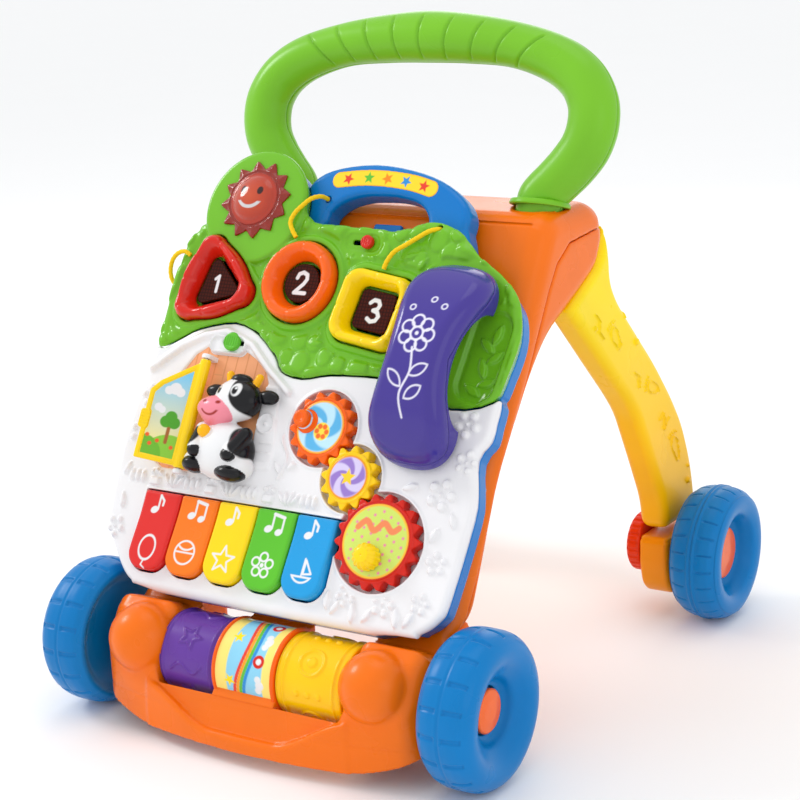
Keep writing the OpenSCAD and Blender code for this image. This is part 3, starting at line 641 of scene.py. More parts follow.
# ---- Rear legs and feet ----
LEG = [(26, 278.7), (68, 298.7), (78.3, 318), (78.3, 326), (84, 316), (87, 300), (86, 281), (96, 264),
       (112, 247), (152, 205), (180, 170), (196, 145), (207, 113), (211, 88), (211, 66), (152, 66),
       (150, 90), (134, 127), (114, 170), (100, 187), (70, 218), (28, 262), (18, 273)]
SPLAY = radians(3)
LEG_AXES = axes((290 * sin(SPLAY), 0, 290 - 290 * cos(SPLAY)), (cos(SPLAY), 0, sin(SPLAY)), (0, 1, 0),
                (-sin(SPLAY), 0, cos(SPLAY)))


def footprint(y, z, at, turn, size):
    """A baby's bare foot: a sole and five toes."""
    c, s = cos(radians(turn)), sin(radians(turn))
    a, b = ((y - at[0]) * c + (z - at[1]) * s) / size, ((z - at[1]) * c - (y - at[0]) * s) / size
    sole = either(oval(a, b, (0, 4), (6.5, 8)), oval(a, b, (0.8, -7), (4.6, 6)), 5)
    toes = [oval(a, b, (-6.4 + 3.3 * k, 15.2 - 0.35 * (k - 1.4) ** 2), (1.5, 2.4 - 0.15 * k))
            for k in range(5)]
    return np.minimum(sole, union(toes)) * size


def leg_relief(y, z):
    """Raised footprints, dashes and dots down the outer face."""
    rim = lambda field, width: np.abs(field + width) - width
    marks = [rim(footprint(y, z, at, turn, size), 0.9) for at, turn, size in (
        ((84, 238), 28, 0.9), ((142, 186), 62, 0.85), ((176, 128), 18, 0.95))]
    marks += [disc(y, z, at, r) for at, r in (((118, 228), 3.2), ((124, 238), 1.8), ((158, 150), 2.4),
                                              ((196, 96), 3), ((197, 108), 1.8), ((52, 252), 2.2))]
    marks += [stroke(y, z, points, 1.1) for points in (
        [(54, 262), (60, 256), (58, 248), (64, 242)], [(112, 205), (120, 200), (118, 192)],
        [(150, 158), (158, 162), (160, 152), (168, 156)], [(98, 262), (104, 256), (102, 250)])]
    return union(marks)


def leg(side, place):
    x, y, z, samples = grid((107, 14, 64), (138, 214, 328), (0.9, 1.0, 1.0))
    across = x + 0 * y
    smooth_side = outline(y, z, curve(rounded(LEG, 14), 2))
    relief = 2 * ramp(leg_relief(y, z), 1)
    collar = stroke(y, z, [(22, 284), (66, 304), (79, 326)], 6)
    relief = relief + 1.6 * ramp(collar, 3)
    body = both(smooth_side, across - 134 - relief, 8)
    body = both(body, 110 - across, 7)
    body = without(body, both(both(smooth_side + 4.5, across - 129.5, 3), 114.5 - across, 3), 0.5)
    body = np.maximum(body, 66.3 - z)

    # Painted shade: the leg's colour darkens from yellow at the top to amber towards the foot, standing in
    # for the shading on the lower leg.
    def shade(x, y, z):
        painted_shade_share = ramp(z - 320, 250)[:, None]
        return srgb("FFE400") * (1 - painted_shade_share) + srgb("FFBE00") * painted_shade_share

    done(skin("leg_moulding_" + side, body, samples, place @ LEG_AXES, shade), YELLOW_LEG, "frame",
         "leg_yellow", "leg_" + side)


FOOT = [(150.5, 66), (150, 42), (154, 25), (164, 15.5), (188, 15.5), (202, 25), (210, 44), (211.5, 66)]


def foot(side, place):
    x, y, z, samples = grid((118, 147, 12), (149, 215, 69), (0.9, 0.9, 0.9))
    shape = outline(y, z, curve(rounded(FOOT, 6), 2))
    body = both(both(shape, x - 146, 4), 121.5 - x, 3)
    body = np.maximum(body, z - 66)
    step = ramp(np.abs(z - 63) - 1.2, 1.2)
    body = without(body + 0.8 * step, np.hypot(y - 174, z - 54) - 4.1 + 0 * x, 0.8)
    pad = rect(y, z, (181, 40), (20, 16), 8)
    body = np.maximum(body, -both(np.abs(pad) - 0.7, 145.3 - x))
    done(skin("foot_moulding_" + side, body, samples, place), AMBER_FOOT, "frame", "foot_orange",
         "foot_" + side)


def speed_knob(side, place):
    profile = rounded([(4.1, 109), (21, 109), (24, 111.5), (24, 119), (22.5, 121), (4.1, 121)],
                      1.2, fine=0.8)
    dent = lambda angle, r, h: -0.9 * (r > 23.4) * (np.cos(angle * 24) > 0.1)
    done(lathe("speed_dial_" + side, profile, 288, place @ shifted(0, 174, 54), dent), KNOB_RED,
         "speed_knob_" + side, "knob_red", "speed_knob_" + side)


# ---- Wheels ----
def tyre(side, end, mirror, at):
    """A hollow wheel. Front tyres have two rows of pockets, rear ones a raised middle ridge."""
    cap_r = 15.5 if end == "front" else 21
    profile = [(cap_r + 1, 1), (cap_r + 1, 5), (cap_r + 3.5, 5.2), (cap_r + 6, 7.5), (cap_r + 8, 12),
               (33, 18.6), (38, 20.6), (43, 20.9), (48, 19), (52.2, 14), (53.8, 8), (54, 0), (53.8, -8),
               (52.2, -14), (48, -19), (46, -19.6)]
    if end == "front":
        profile += [(44, -19), (39, -15.5), (30, -14), (4.1, -14), (4.1, 1)]
    else:
        profile += [(45, -18.5), (48, -12), (49, 0), (46, 10), (40, 15.5), (34, 14), (28, 4), (26, 1),
                    (9, 1), (9, -16), (4.1, -16), (4.1, 1)]
    fine = rounded(profile, 2.2, 5, fine=0.9)
    blocks = 18 if end == "front" else 24

    def dent(angle, r, h):
        turn = (angle * blocks / (2 * pi) + 0.5) % 1 - 0.5
        arc = turn * 2 * pi * 54 / blocks
        tread = 1.0 * ((r > 47.5) & (np.abs(h) < 19.3))
        if end == "front":
            pocket = np.maximum(np.abs(arc) - 2.0, np.abs(np.abs(h) - 9.2) - 6.6)
            seam = np.abs(h) - 0.5
            return -tread * (1.2 * ramp(pocket, 0.6) + 0.5 * (seam < 0))
        pocket = np.maximum(np.abs(arc) - 1.0, np.abs(np.abs(h) - 10.4) - 5.6)
        ridge = 0.9 * ((np.abs(h) < 2.6) & (np.abs(h) > 0.7))
        return tread * (ridge - 0.9 - 1.2 * ramp(pocket, 0.5) * (np.abs(h) > 3.5))

    place = mirror @ shifted(*at)
    name = "%s_%s" % (end, side)
    done(lathe("tyre_" + name, fine, 540, place, dent), BLUE_TYRE, "wheel_" + name, "wheel_blue",
         "wheel_" + name)
    disc_profile = [(0.01, 5), (cap_r - 0.2, 5), (cap_r - 0.2, 7.4), (cap_r - 1.4, 8.4), (cap_r - 3, 8.5),
                    (cap_r * 0.5, 9.0), (0.01, 9.2)]
    done(lathe("hub_" + name, rounded(disc_profile, 0.5), 96, place), ORANGE_TOY, "wheel_" + name,
         "foot_orange", "cap_" + name)


for side, mirror in (("right", WORLD), ("left", MIRROR)):
    leg(side, mirror)
    foot(side, mirror)
    speed_knob(side, mirror)
    tyre(side, "front", mirror, (161, -174, 54))
    tyre(side, "rear", mirror, (178, 174, 54))


# ---- Rollers ----
ROLLER = shifted(0, -184, 57)


def roller_relief(kind, s, h):
    """Raised figures round a drum: s runs round it and h along it."""
    marks = []
    for k in range(4):
        at = (47.1 * (k + 0.5), 0)
        if kind == "purple":
            marks.append(np.abs(star(s, h, at, 5.5, 12, 5, 90) + 1.2) - 1.2)
            wave_s = at[0] + 23.5 + 3.2 * np.sin(h / 3.4)
            marks.append(np.maximum(np.abs(s - wave_s) - 1.4, np.abs(h) - 14))
        else:
            marks.append(np.abs(disc(s, h, at, 9.5)) - 1.3)
            marks.append(disc(s, h, at, 4))
            marks += [disc(s, h, (at[0] + 23.5, 9 * j), 2.6) for j in (-1, 0, 1)]
    return union(marks)


def roller(kind, ends, web, material, slot):
    low, high = ends
    profile = [(3.1, low), (28.6, low), (30, low + 1.4), (30, high - 1.4), (28.6, high), (27.4, high),
               (27.4, low + 3), (7, low + 3), (7, high), (3.1, high)]
    if web == high:
        profile = [(r, low + high - h) for r, h in profile[::-1]]
    middle = (low + high) / 2

    def dent(angle, r, h):
        figures = ramp(roller_relief(kind, angle * 30, h - middle), 0.9)
        bands = ramp(np.abs(np.abs(h - middle) - 20.3) - 1.2, 0.8)
        return (r > 29.2) * (1.1 * np.maximum(figures, bands) - 1.1)

    done(lathe("drum_" + kind, rounded(profile, 1, fine=0.7), 320, ROLLER, dent), material,
         "roller_" + kind, slot, "roller_" + kind)


roller("purple", (-77, -30), -77, VIOLET_DRUM, "roller_violet")
roller("yellow", (24, 77), 77, GOLD_DRUM, "roller_gold")


def drum_print(x, y, z):
    """Stripes, clouds, stars and balls round the fixed drum."""
    s, h = np.arctan2(-y, z) * 30, x + 3
    colour = mixed(np.broadcast_to(srgb("FFE87A"), (len(x), 3)), np.abs(h - 1) - 15, srgb("8FD3F0"))
    for k, shade in enumerate(("E8402C", "F9A21C", "5FBF3A", "2E8FD8")):
        colour = mixed(colour, np.abs(h - 4 * np.sin(s / 13) - 2.6 * k + 4) - 1.3, srgb(shade))
    for k in range(6):
        at = 31.4 * k - 78
        colour = mixed(colour, star(s, h, (at, -11), 2.2, 5.2, 5, 17 * k), YELLOW)
        colour = mixed(colour, disc(s, h, (at + 15, 12), 4.6), RED)
        colour = mixed(colour, disc(s, h, (at + 15, 12), 2.2), WHITE)
        cloud = union([disc(s, h, (at + dx, 13 + dh), r) for dx, dh, r in (
            (-4, 0, 2.6), (0, 1.4, 3.4), (4, 0, 2.6))])
        colour = mixed(colour, cloud, WHITE)
    return mixed(colour, 23.2 - np.abs(h), DEEP_ORANGE, 0.1)


def roller_housing():
    profile = [(3.1, -29.5), (30.4, -29.5), (31.5, -28.4), (31.5, -26.9), (30, -26.2), (30, 20.2),
               (31.5, 20.9), (31.5, 22.4), (30.4, 23.5), (3.1, 23.5)]
    drum = lathe("label_drum", rounded(profile, 0.6, fine=0.6), 420, shifted(0, 0, 0))
    points = np.empty(3 * len(drum.data.vertices))
    drum.data.vertices.foreach_get("co", points)
    coloured(drum, drum_print(*(points.reshape(-1, 3).T / MM)))
    drum.data.transform(Matrix.Translation((0, -0.184, 0.057)))
    done(drum, PRINTED, "frame", "roller_label", "roller_housing")
    x, y, z, samples = grid((-31, -219, 38), (25, -159, 90), (0.8, 0.8, 0.8))
    rear = [(-180, 79), (-173, 84), (-164.2, 84), (-161, 85.5), (-161, 80), (-168, 72)]
    arms = np.minimum(outline(y, z, rear),
                      outline(y, z, [(-216.6, 43.4), (-213.2, 41.5), (-200, 40), (-206, 56)]))
    done(skin("drum_arms", both(arms, np.abs(x + 3) - 26.3, 1), samples), ORANGE_SHELL, "frame",
         "roller_label")


roller_housing()


# ---- Activity panel: outlines shared by its shells ----
WAVE = [(-151, 178), (-134, 186), (-118, 195), (-87, 202), (-64, 195), (-45, 180), (-37, 170), (-18, 166),
        (6, 171), (46, 173), (75, 168), (108, 157), (139, 165)]
CROWN = [(146, 185), (149, 210), (145, 230), (137, 243), (122, 256), (104, 266), (88, 280), (72, 288),
         (55, 289), (35, 281), (0, 282), (-40, 284), (-60, 300), (-110, 300), (-146, 268), (-153, 240),
         (-154, 200)]
LOWER = [(-150, 190), (-160, 150), (-164, 110), (-162, 64), (-159, 44), (-153, 32), (-145, 21.5),
         (-135, 9.5), (-124, 1.5), (-108, -1), (105, -1), (124, 3), (137, 15), (141, 30), (145, 86),
         (143, 105), (138, 126), (144, 138), (145, 152), (141, 175), (100, 190), (-90, 215)]
GREEN_EDGE, WHITE_EDGE = curve(WAVE + CROWN, 3), curve(LOWER, 3)
SUN, TRIANGLE, CIRCLE, SQUARE = (-94, 291), (-112, 230), (-37, 236), (30, 220)
PHONE, VOLUME, MODE = (95, 184), (11, 270), (-84, 187)
GEARS = {"orange": ((11.83, 132.17), 24.5, 14, 90 / 14), "yellow": ((44, 100), 21.0, 12, 0.0),
         "red": ((77.75, 59.78), 31.5, 18, 120 / 18)}


def corners_of(at, r):
    return [(at[0] + r * cos(radians(a)), at[1] + r * sin(radians(a))) for a in (107, 227, 347)]


def ring_fields(kind, u, v):
    """The outlines of a shape ring and of its hole."""
    if kind == "triangle":
        edge = either(outline(u, v, corners_of(TRIANGLE, 27)) - 11, disc(u, v, TRIANGLE, 25.5), 8)
        return edge, outline(u, v, corners_of(TRIANGLE, 15)) - 6
    if kind == "circle":
        return disc(u, v, CIRCLE, 31), disc(u, v, CIRCLE, 16)
    return rect(u, v, SQUARE, (29.5, 27.5), 13, -8), rect(u, v, SQUARE, (16, 16), 5.5, -8)


KINDS = ("triangle", "circle", "square")


def drafted(edge, u, v, n):
    """The panel's sides lean in towards its back, except along its foot."""
    inset = 0.42 * np.clip(-n, 0, 12) + 0.08 * np.clip(-12 - n, 0, 16)
    return edge + inset * np.clip(np.maximum((v - 8) / 30, (np.abs(u + 7) - 92) / 20), 0, 1)


def tufts(u, v):
    """Foliage: low domes in uneven rows."""
    height = 0
    for i, j in product(range(20), range(9)):
        a = -156 + 16 * i + 8 * (j % 2) + 3 * sin(3 * i + 5 * j)
        b = 166 + 14 * j + 3 * cos(4 * i + 2 * j)
        r = 8.2 + 1.6 * sin(2.3 * i + 1.7 * j)
        far = np.hypot(u - a, (v - b) * 0.9) / r
        height = np.maximum(height, 2.1 * np.sqrt(np.clip(1 - far ** 2, 0, 1)) * ramp(far - 1, 0.35))
    return height


def leaves(u, v):
    spots = [(-74, 236, 70), (-76, 222, 115), (-70, 250, 40), (-8, 200, 60), (-12, 192, 10), (2, 190, 120),
             (52, 184, 30), (46, 190, 75), (-140, 204, 40), (-132, 198, 5), (50, 262, 20), (60, 256, 60),
             (128, 246, 130), (137, 236, 100), (-60, 204, 20), (-52, 196, 60)]
    pairs = [leaf(u, v, at[:2], 17, 7.5, at[2]) for at in spots]
    return union(pairs)


def green_moulding():
    u, v, n, samples = grid((-157, 153, -13), (152, 338, 8), (0.85, 0.85, 0.6))
    edge = outline(u, v, GREEN_EDGE)
    fields = [ring_fields(kind, u, v) for kind in KINDS]
    rings = union([pair[0] for pair in fields])
    holes = union([pair[1] for pair in fields])
    sun, phone = disc(u, v, SUN, 44.8), rect(u, v, PHONE, (28, 75), 8, -4)
    cradle = rect(u, v, (124, 196), (17, 34), 14, -6)
    plate = rect(u, v, (6, 270), (15, 7), 6)
    quiet = union([rings - 8, sun - 1, phone - 1, cradle - 2, plate - 1])
    calm = ramp(-quiet, 4)
    border = np.exp(-((edge + 5.5) / 4.5) ** 2) * ramp(-(phone - 4), 6)
    top = 0.2 + calm * tufts(u, v) + 1.4 * border
    top = np.maximum(top, 0.2 + calm * 2.6 * ramp(leaves(u, v), 2.6))
    top = np.maximum(top, 3.0 * ramp(rings - 7, 3.2))
    curls = union([leaf(u, v, at, 17, 7, turn) for at, turn in (
        ((130, 212), 75), ((124, 204), 140), ((132, 196), 40), ((124, 188), 110), ((130, 178), 20),
        ((120, 172), 150))])
    top = top - 3.4 * ramp(cradle, 3.5) + 1.9 * ramp(np.maximum(curls, cradle + 3), 1.4)
    top = top - 0.8 * ramp(plate, 1.5)
    horn = [(-3, 257), (0, 257), (3, 254), (3, 262), (0, 259.6), (-3, 259.6)]
    icons = union([outline(u - a, v, horn) for a in (-2, 17)])
    top = top + 0.9 * ramp(icons, 0.6)
    edge, sun = drafted(edge, u, v, n), drafted(sun, u, v, n)
    body = either(both(edge, n - top, 3), both(sun, np.abs(n + 4) - 8, 3.4), 1.5)
    cavity = np.maximum(np.minimum(edge, sun) + 2.6, n + 2.8 + 3.2 * ramp(cradle - 4, 3))
    body = either(without(body, cavity), slab(rings - 3.2, n, -6, -0.5), 0.4)
    body = without(body, np.maximum(rings - 0.8, -4 - n), 0.7)
    body = without(body, holes + 0.7)
    body = without(body, rect(u, v, (6, 270), (9, 1.8), 1.8) + 0 * n)
    body = without(body, disc(u, v, (67, 284), 2.6) + 0 * n, 0.6)
    done(skin("green_moulding", np.maximum(body, -12 - n), samples, PANEL), GREEN_SHELL, "panel",
         "leaf_green", "green_shell")


green_moulding()

BARN = [(-128, 90), (-130, 139), (-128, 158), (-117, 177), (-104, 186.5), (-90, 189.5), (-75, 185.5),
        (-60, 178.5), (-48, 170), (-43, 160), (-45, 148), (-42, 98), (-46, 87), (-121, 86)]
ROOF = [(-152, 161), (-128, 181), (-110, 190.5), (-91, 195), (-66, 186.5), (-46, 169.5), (-25, 155)]
WALL = [(-46, 158), (-33, 158), (-24, 112), (-25, 97), (-46, 95)]
KEYS = [(-109 + 34 * k, 50) for k in range(5)]


def garden(u, v):
    """Stems, leaves, flowers and pots in low relief on the white face."""
    vine = curve([(-16, 92), (-12, 108), (-20, 122), (-10, 132), (-6, 122), (-12, 116)], 5, False)
    marks = [stroke(u, v, vine, 1.9)]
    marks += [leaf(u, v, at, length, length * 0.42, turn) for at, length, turn in (
        ((-18, 100), 14, 130), ((-6, 104), 15, 50), ((118, 70), 15, 60), ((130, 82), 14, 110),
        ((92, 100), 15, 25), ((-147, 60), 15, 100), ((-150, 84), 13, 70), ((48, 16), 17, 100),
        ((56, 12), 15, 60), ((70, 10), 17, 95), ((82, 10), 15, 55), ((104, 12), 17, 100),
        ((114, 12), 15, 60), ((-6, 152), 15, 30), ((54, 152), 15, 60), ((-145, 166), 12, 60))]
    for at, r in (((-148, 112), 6.5), ((117, 98), 8), ((125, 52), 6), ((62, 21), 6), ((92, 19), 6.5),
                  ((120, 24), 5.5), ((-148, 40), 6), ((62, 138), 6), ((124, 148), 7), ((-146, 140), 6.5),
                  ((130, 122), 6)):
        turns = [2 * pi * k / 5 + at[1] for k in range(5)]
        petals = [disc(u, v, (at[0] + r * cos(t), at[1] + r * sin(t)), r * 0.52) for t in turns]
        marks.append(np.maximum(union(petals), -disc(u, v, at, r * 0.42)))
        marks.append(disc(u, v, at, r * 0.28))
    for k in range(10):
        a, b = -139 + 17 * k, 79.5
        if k % 3 == 0:
            marks += [oval(u, v, (a + d, b), (2.9, 6)) for d in (-5.2, 0, 5.2)]
        elif k % 3 == 1:
            marks += [rect(u, v, (a, b - 2.4), (5.4, 4), 2), disc(u, v, (a - 3.4, b + 4.6), 2.6),
                      disc(u, v, (a + 3.4, b + 4.6), 2.6), disc(u, v, (a, b + 6), 2.4)]
        else:
            marks += [leaf(u, v, (a + d, b), 14, 4.8, 90 - 6 * d) for d in (-6, -2, 2, 6)]
    hub = (-37, 130)
    wheel = np.minimum(np.abs(disc(u, v, hub, 7)) - 1.2, disc(u, v, hub, 2.2))
    bars = [pill(u, v, (-40 + 0.1 * (b - 96), b), (-29 + 0.1 * (b - 96), b), 0.9) for b in (102, 109, 116)]
    return union(marks + [wheel] + bars)


def white_moulding():
    u, v, n, samples = grid((-167, -4, -13), (149, 207, 13), (0.85, 0.85, 0.7))
    edge, green, barn = outline(u, v, WHITE_EDGE), outline(u, v, GREEN_EDGE), outline(u, v, BARN)
    wells = union([disc(u, v, at, r + 3.5) for at, r, _, _ in GEARS.values()])
    window = union([rect(u, v, at, (16.6, 38), 13.5) - 1.2 for at in KEYS])
    window = np.minimum(window, rect(u, v, (-41, 49.6), (85.6, 21.6), 1.5))
    window = np.maximum(window, v - 71.2)
    plate, slot = rect(u, v, (-88, 184.5), (16.5, 7), 6), rect(u, v, MODE, (10, 1.8), 1.8)
    relief = 1.5 * ramp(outline(u, v, WALL), 1.5)
    clear = ramp(2 - window, 2) * ramp(3 - wells, 2) * ramp(-4 - barn, 4)
    relief = relief + 2.7 * ramp(garden(u, v), 1.9) * clear
    blend = lambda level, mask: relief * (1 - mask) + level * mask
    relief = blend(1.3, ramp(window - 2.2, 2))
    relief = blend(1.6, ramp(wells - 3, 2.6))
    relief = blend(-1.6, ramp(barn + 1, 1.5))
    relief = blend(3.6, ramp(stroke(u, v, ROOF, 4.2), 3.4))
    relief = blend(0.4, ramp(plate, 2))
    relief = blend(2.8, ramp(np.abs(plate + 1) - 1.4, 1.4))
    edge = drafted(edge, u, v, n)
    body = both(edge, n - relief, 7)
    body = both(body, 0.6 - green, 1.5)
    cavity = np.maximum(np.maximum(edge + 2.6, 3.2 - green), n + 3.6)
    body = either(without(body, cavity), slab(wells - 2, n, -8, -1), 0.4)
    body = without(body, np.maximum(wells, -6 - n), 0.8)
    body = without(body, window + 0 * n, 0.7)
    lugs = np.minimum(rect(u, v, (-99, 85.4), (4, 1.75), 0.5), rect(u, v, (-99, 172.6), (4, 1.75), 0.5))
    eyes = np.hypot(u + 99, np.maximum(n - 7, 0)) - 4
    body = either(body, both(np.maximum(lugs, -3 - n), eyes, 0.6), 0.5)
    pins = union([disc(u, v, at, 3) for at, _, _, _ in GEARS.values()])
    body = np.minimum(body, np.maximum(np.maximum(pins, n - 1.5), -8 - n))
    body = without(body, slot + 0 * n, 0.6)
    body = without(body, np.maximum(np.hypot(u + 99, n - 7) - 1.6, 0 * v))
    done(skin("white_moulding", np.maximum(body, -12 - n), samples, PANEL), WHITE_SHELL, "panel",
         "shell_white", "white_shell")


white_moulding()


def label(name, low, high, shape, ink, level, body="panel", slot="shell_white", place=PANEL, step=0.45):
    """A thin printed sheet: shape(u, v) is its outline and ink(u, v) its colours."""
    u, v, n, samples = grid((*low, level - 0.75), (*high, level + 1), (step, step, 0.35))
    sheet = slab(shape(u, v), n, level - 0.2, level + 0.3, 0.1)
    return done(skin(name, sheet, samples, place, lambda x, y, z: ink(x, y)), PRINTED, body, slot)


def planks(u, v):
    lines = np.abs((u + 4) % 9.2 - 4.6) - 4.15
    colour = mixed(np.broadcast_to(PEACH, (len(u), 3)), -lines, srgb("D98E58"))
    colour = mixed(colour, np.abs((v + 9 * ((u + 4) // 9.2 % 2)) % 36 - 18) - 0.4, srgb("E2A06E"))
    return mixed(colour, rect(u, v, (-64, 118), (33, 40), 5), srgb("EBA674"), 3)


def plank_shape(u, v):
    inside = outline(u, v, BARN) + 0.4
    return np.maximum(inside, -rect(u, v, (-88, 184.5), (17, 7.5), 6))


label("barn_planks", (-133, 80), (-24, 200), plank_shape, planks, -1.5)


# ---- Back shell and carry handle ----
ARCH_OUT = [(-60, 270), (-61, 308), (-54, 322), (-36, 330), (-6, 334), (25, 331), (51, 324), (71, 313),
            (81, 301), (82, 288), (77, 266)]
ARCH_IN = [(-36, 262), (-36, 288), (-34, 296), (-26, 303), (-12, 308), (5, 309.5), (22, 309), (38, 305),
           (47, 297), (50, 287), (50, 262)]
SCREWS = [(-140, 60), (125, 40), (130, 110), (-140, 200), (-20, 255), (128, 220)]


def back_moulding():
    u, v, n, samples = grid((-167, -4, -37), (152, 338, -6), (0.95, 0.95, 0.8))
    green, sun = outline(u, v, GREEN_EDGE), disc(u, v, SUN, 45)
    edge = union([outline(u, v, WHITE_EDGE), green, sun])
    edge = drafted(edge, u, v, n)
    body = np.maximum(both(edge, -28 - n, 5), n + 12.2)
    body = without(body, np.maximum(edge + 2.6, -25.4 - n))
    ribs = np.maximum(np.minimum(np.abs(u + 41) - 1, np.abs(v - 150) - 1), np.maximum(edge + 2, n + 22))
    body = np.minimum(body, np.maximum(ribs, -27 - n))
    outer, inner = outline(u, v, curve(ARCH_OUT, 3)), outline(u, v, curve(ARCH_IN, 3))
    arch = both(both(outer, np.abs(n + 18) - 10, 5.5), -inner, 4.5)
    arch = np.maximum(arch, np.maximum(272 - v, 0.4 - drafted(np.minimum(green, sun), u, v, n)))
    arch = np.maximum(arch, -np.maximum(disc(u, v, (-39, 304), 2.6), -12 - n))
    body = either(body, arch, 2.5)
    pegs = np.minimum(disc(u, v, (-60, 30), 4), disc(u, v, (60, 30), 4))
    body = either(body, both(pegs, np.maximum(-36 - n, n + 27), 1), 1)
    body = without(body, np.maximum(rect(u, v, (-3, 42), (31, 34), 3), n + 24), 0.8)
    screws = union([disc(u, v, at, 1.7) for at in SCREWS])
    spots = [(r, 2 * pi * k / c) for r, c in ((0.01, 1), (6, 6), (12, 12), (18, 18)) for k in range(c)]
    grille = union([disc(u, v, (95 + r * cos(t), 200 + r * sin(t)), 1.5) for r, t in spots])
    body = without(body, np.maximum(np.minimum(screws, grille), n + 20), 0.5)
    done(skin("back_moulding", body, samples, PANEL), BLUE_SHELL, "panel", "shell_blue", "panel_back")


back_moulding()
ARCH_LINE = curve([(-33, 319.5), (-16, 321.6), (0, 322.2), (16, 321.4), (32, 319.4), (46, 316)],
                  8, closed=False)


def arch_ink(u, v):
    colour = np.broadcast_to(srgb("FFD92E"), (len(u), 3))
    for k, shade in enumerate(("E8402C", "5FBF3A", "F58A1C", "2E8FD8", "E8402C")):
        at = ARCH_LINE[4 + 8 * k]
        colour = mixed(colour, star(u, v, at, 2.2, 5, 5, 20 * k), srgb(shade))
    rim = stroke(u, v, ARCH_LINE, 5.6)
    return mixed(colour, -rim, srgb("F5A81C"), 0.4)


label("carry_label", (-56, 290), (78, 334), lambda u, v: stroke(u, v, ARCH_LINE, 6.3), arch_ink, -8.1,
      slot="shell_blue")


def battery_cover():
    u, v, n, samples = grid((-35, 7, -30), (29, 77, -24), (0.7, 0.7, 0.5))
    plate = rect(u, v, (-3, 42), (30.5, 33.5), 3)
    ribs = union([rect(u, v, (-3, 17 + 6 * k), (22, 1.2), 1.2) for k in range(9)])
    body = both(plate, np.maximum(-28 - n - 0.6 * ramp(ribs, 0.8), n + 25.6), 0.8)
    body = without(body, np.maximum(disc(u, v, (-3, 71), 2.6), n + 27), 0.3)
    done(skin("bay_cover", body, samples, PANEL), BLUE_SHELL, "panel", "shell_blue", "battery_cover")


battery_cover()


def panel_latch():
    u, v, n, samples = grid((-8, 284, -42), (20, 296, -24), (0.5, 0.5, 0.5))
    grip = rect(u, v, (6, 290), (12, 3.5), 2)
    body = both(grip, np.maximum(n + 25.6, -29.2 - n), 1)
    tongue = both(rect(u, v, (6, 289.5), (6, 2.5), 1), np.maximum(n + 28, -40 - n), 0.6)
    done(skin("latch_key", np.minimum(body, tongue), samples, PANEL), BLUE_SHELL, "latch", "shell_blue",
         "panel_latch")


panel_latch()


# ---- Sun, buttons and shape rings ----
def sun_lens():
    at = (-94, 296)
    u, v, n, samples = grid((-126, 264, 3), (-62, 328, 15), (0.45, 0.45, 0.4))
    far, turn = np.hypot(u - at[0], v - at[1]), np.arctan2(v - at[1], u - at[0])
    ray = np.abs(((turn - radians(11)) * 12 / (2 * pi)) % 1 - 0.5) * 2
    edge = (far - (24.6 + 6.2 * ray ** 1.2)) * 0.8
    roof = 7.6 - 0.13 * np.maximum(far - 20, 0) - 2.4 * (1 - ray) * ramp(21 - far, 5)
    body = both(edge, n - roof, 1)
    body = without(body, np.maximum(np.abs(far - 21.4) - 0.9, 6.6 - n), 0.5)
    dome = ball(u, v, n, (*at, 3), (20, 20, 10.4))
    body = np.maximum(either(body, dome, 0.6), 4.05 - n)

    def ink(x, y, z):
        a, b = x - at[0], y - at[1]
        colour = np.broadcast_to(srgb("A0240E"), (len(x), 3))
        colour = mixed(colour, np.hypot(a, b) - 20, srgb("C8371A"), 1)
        # Painted shading: the face lightens towards its centre over a soft 9 mm fade, standing in for the
        # lens dome's radial shading.
        colour = mixed(colour, np.hypot(a, b) - 10, srgb("E0562A"), 9)
        for s in (-1, 1):
            colour = mixed(colour, oval(a, b, (7.6 * s, 5), (2.3, 3.2)), DARK_RED * 0.1)
        smile = np.maximum(np.abs(np.hypot(a, b - 3) - 11) - 1.2, b + 3.5)
        return mixed(colour, smile, WHITE)

    done(skin("sun_face", body, samples, PANEL, ink), LENS, "panel", "lens_red", "sun_lens")


sun_lens()

DIGITS = {"triangle": (TRIANGLE, [[(-2.6, 4.4), (0.8, 7.4), (0.8, -7.4)]]),
          "circle": (CIRCLE, [[(-4.4, 3.6), (-3.4, 6.6), (0, 8), (3.6, 6.4), (4.2, 3), (2.2, -0.6),
                               (-4.6, -7.6), (4.8, -7.6)]]),
          "square": (SQUARE, [[(-4.2, 5.8), (-1.4, 8), (2.4, 7.4), (4, 4.4), (2.6, 1.4), (-0.8, 0.4),
                               (3, -0.8), (4.6, -3.8), (2.8, -7), (-1.2, -7.9), (-4.4, -5.8)]])}


def button(kind):
    at, lines = DIGITS[kind]
    size = 0.82 if kind == "triangle" else 1.0
    u, v, n, samples = grid((at[0] - 20, at[1] - 18, -13), (at[0] + 20, at[1] + 24, 3), (0.4, 0.4, 0.6))
    hole = ring_fields(kind, u, v)[1]
    body = np.minimum(slab(hole + 1.2, n, -1, 1.5, 0.8), slab(hole + 3, n, -12, 0, 0.4))

    def ink(x, y, z):
        a, b = (x - at[0]) / size, (y - at[1]) / size
        colour = np.broadcast_to(srgb("4A160A"), (len(x), 3))
        mesh = np.minimum(np.abs(x % 2.6 - 1.3), np.abs(y % 2.6 - 1.3)) - 0.3
        colour = mixed(colour, mesh, srgb("200804"), 0.3)
        figure = union([stroke(a, b, line, 1.5) for line in lines])
        return mixed(colour, figure * size, WHITE)

    done(skin("window_" + kind, body, samples, PANEL, ink), WINDOW, "button_" + kind, "window_brown",
         "button_" + kind)


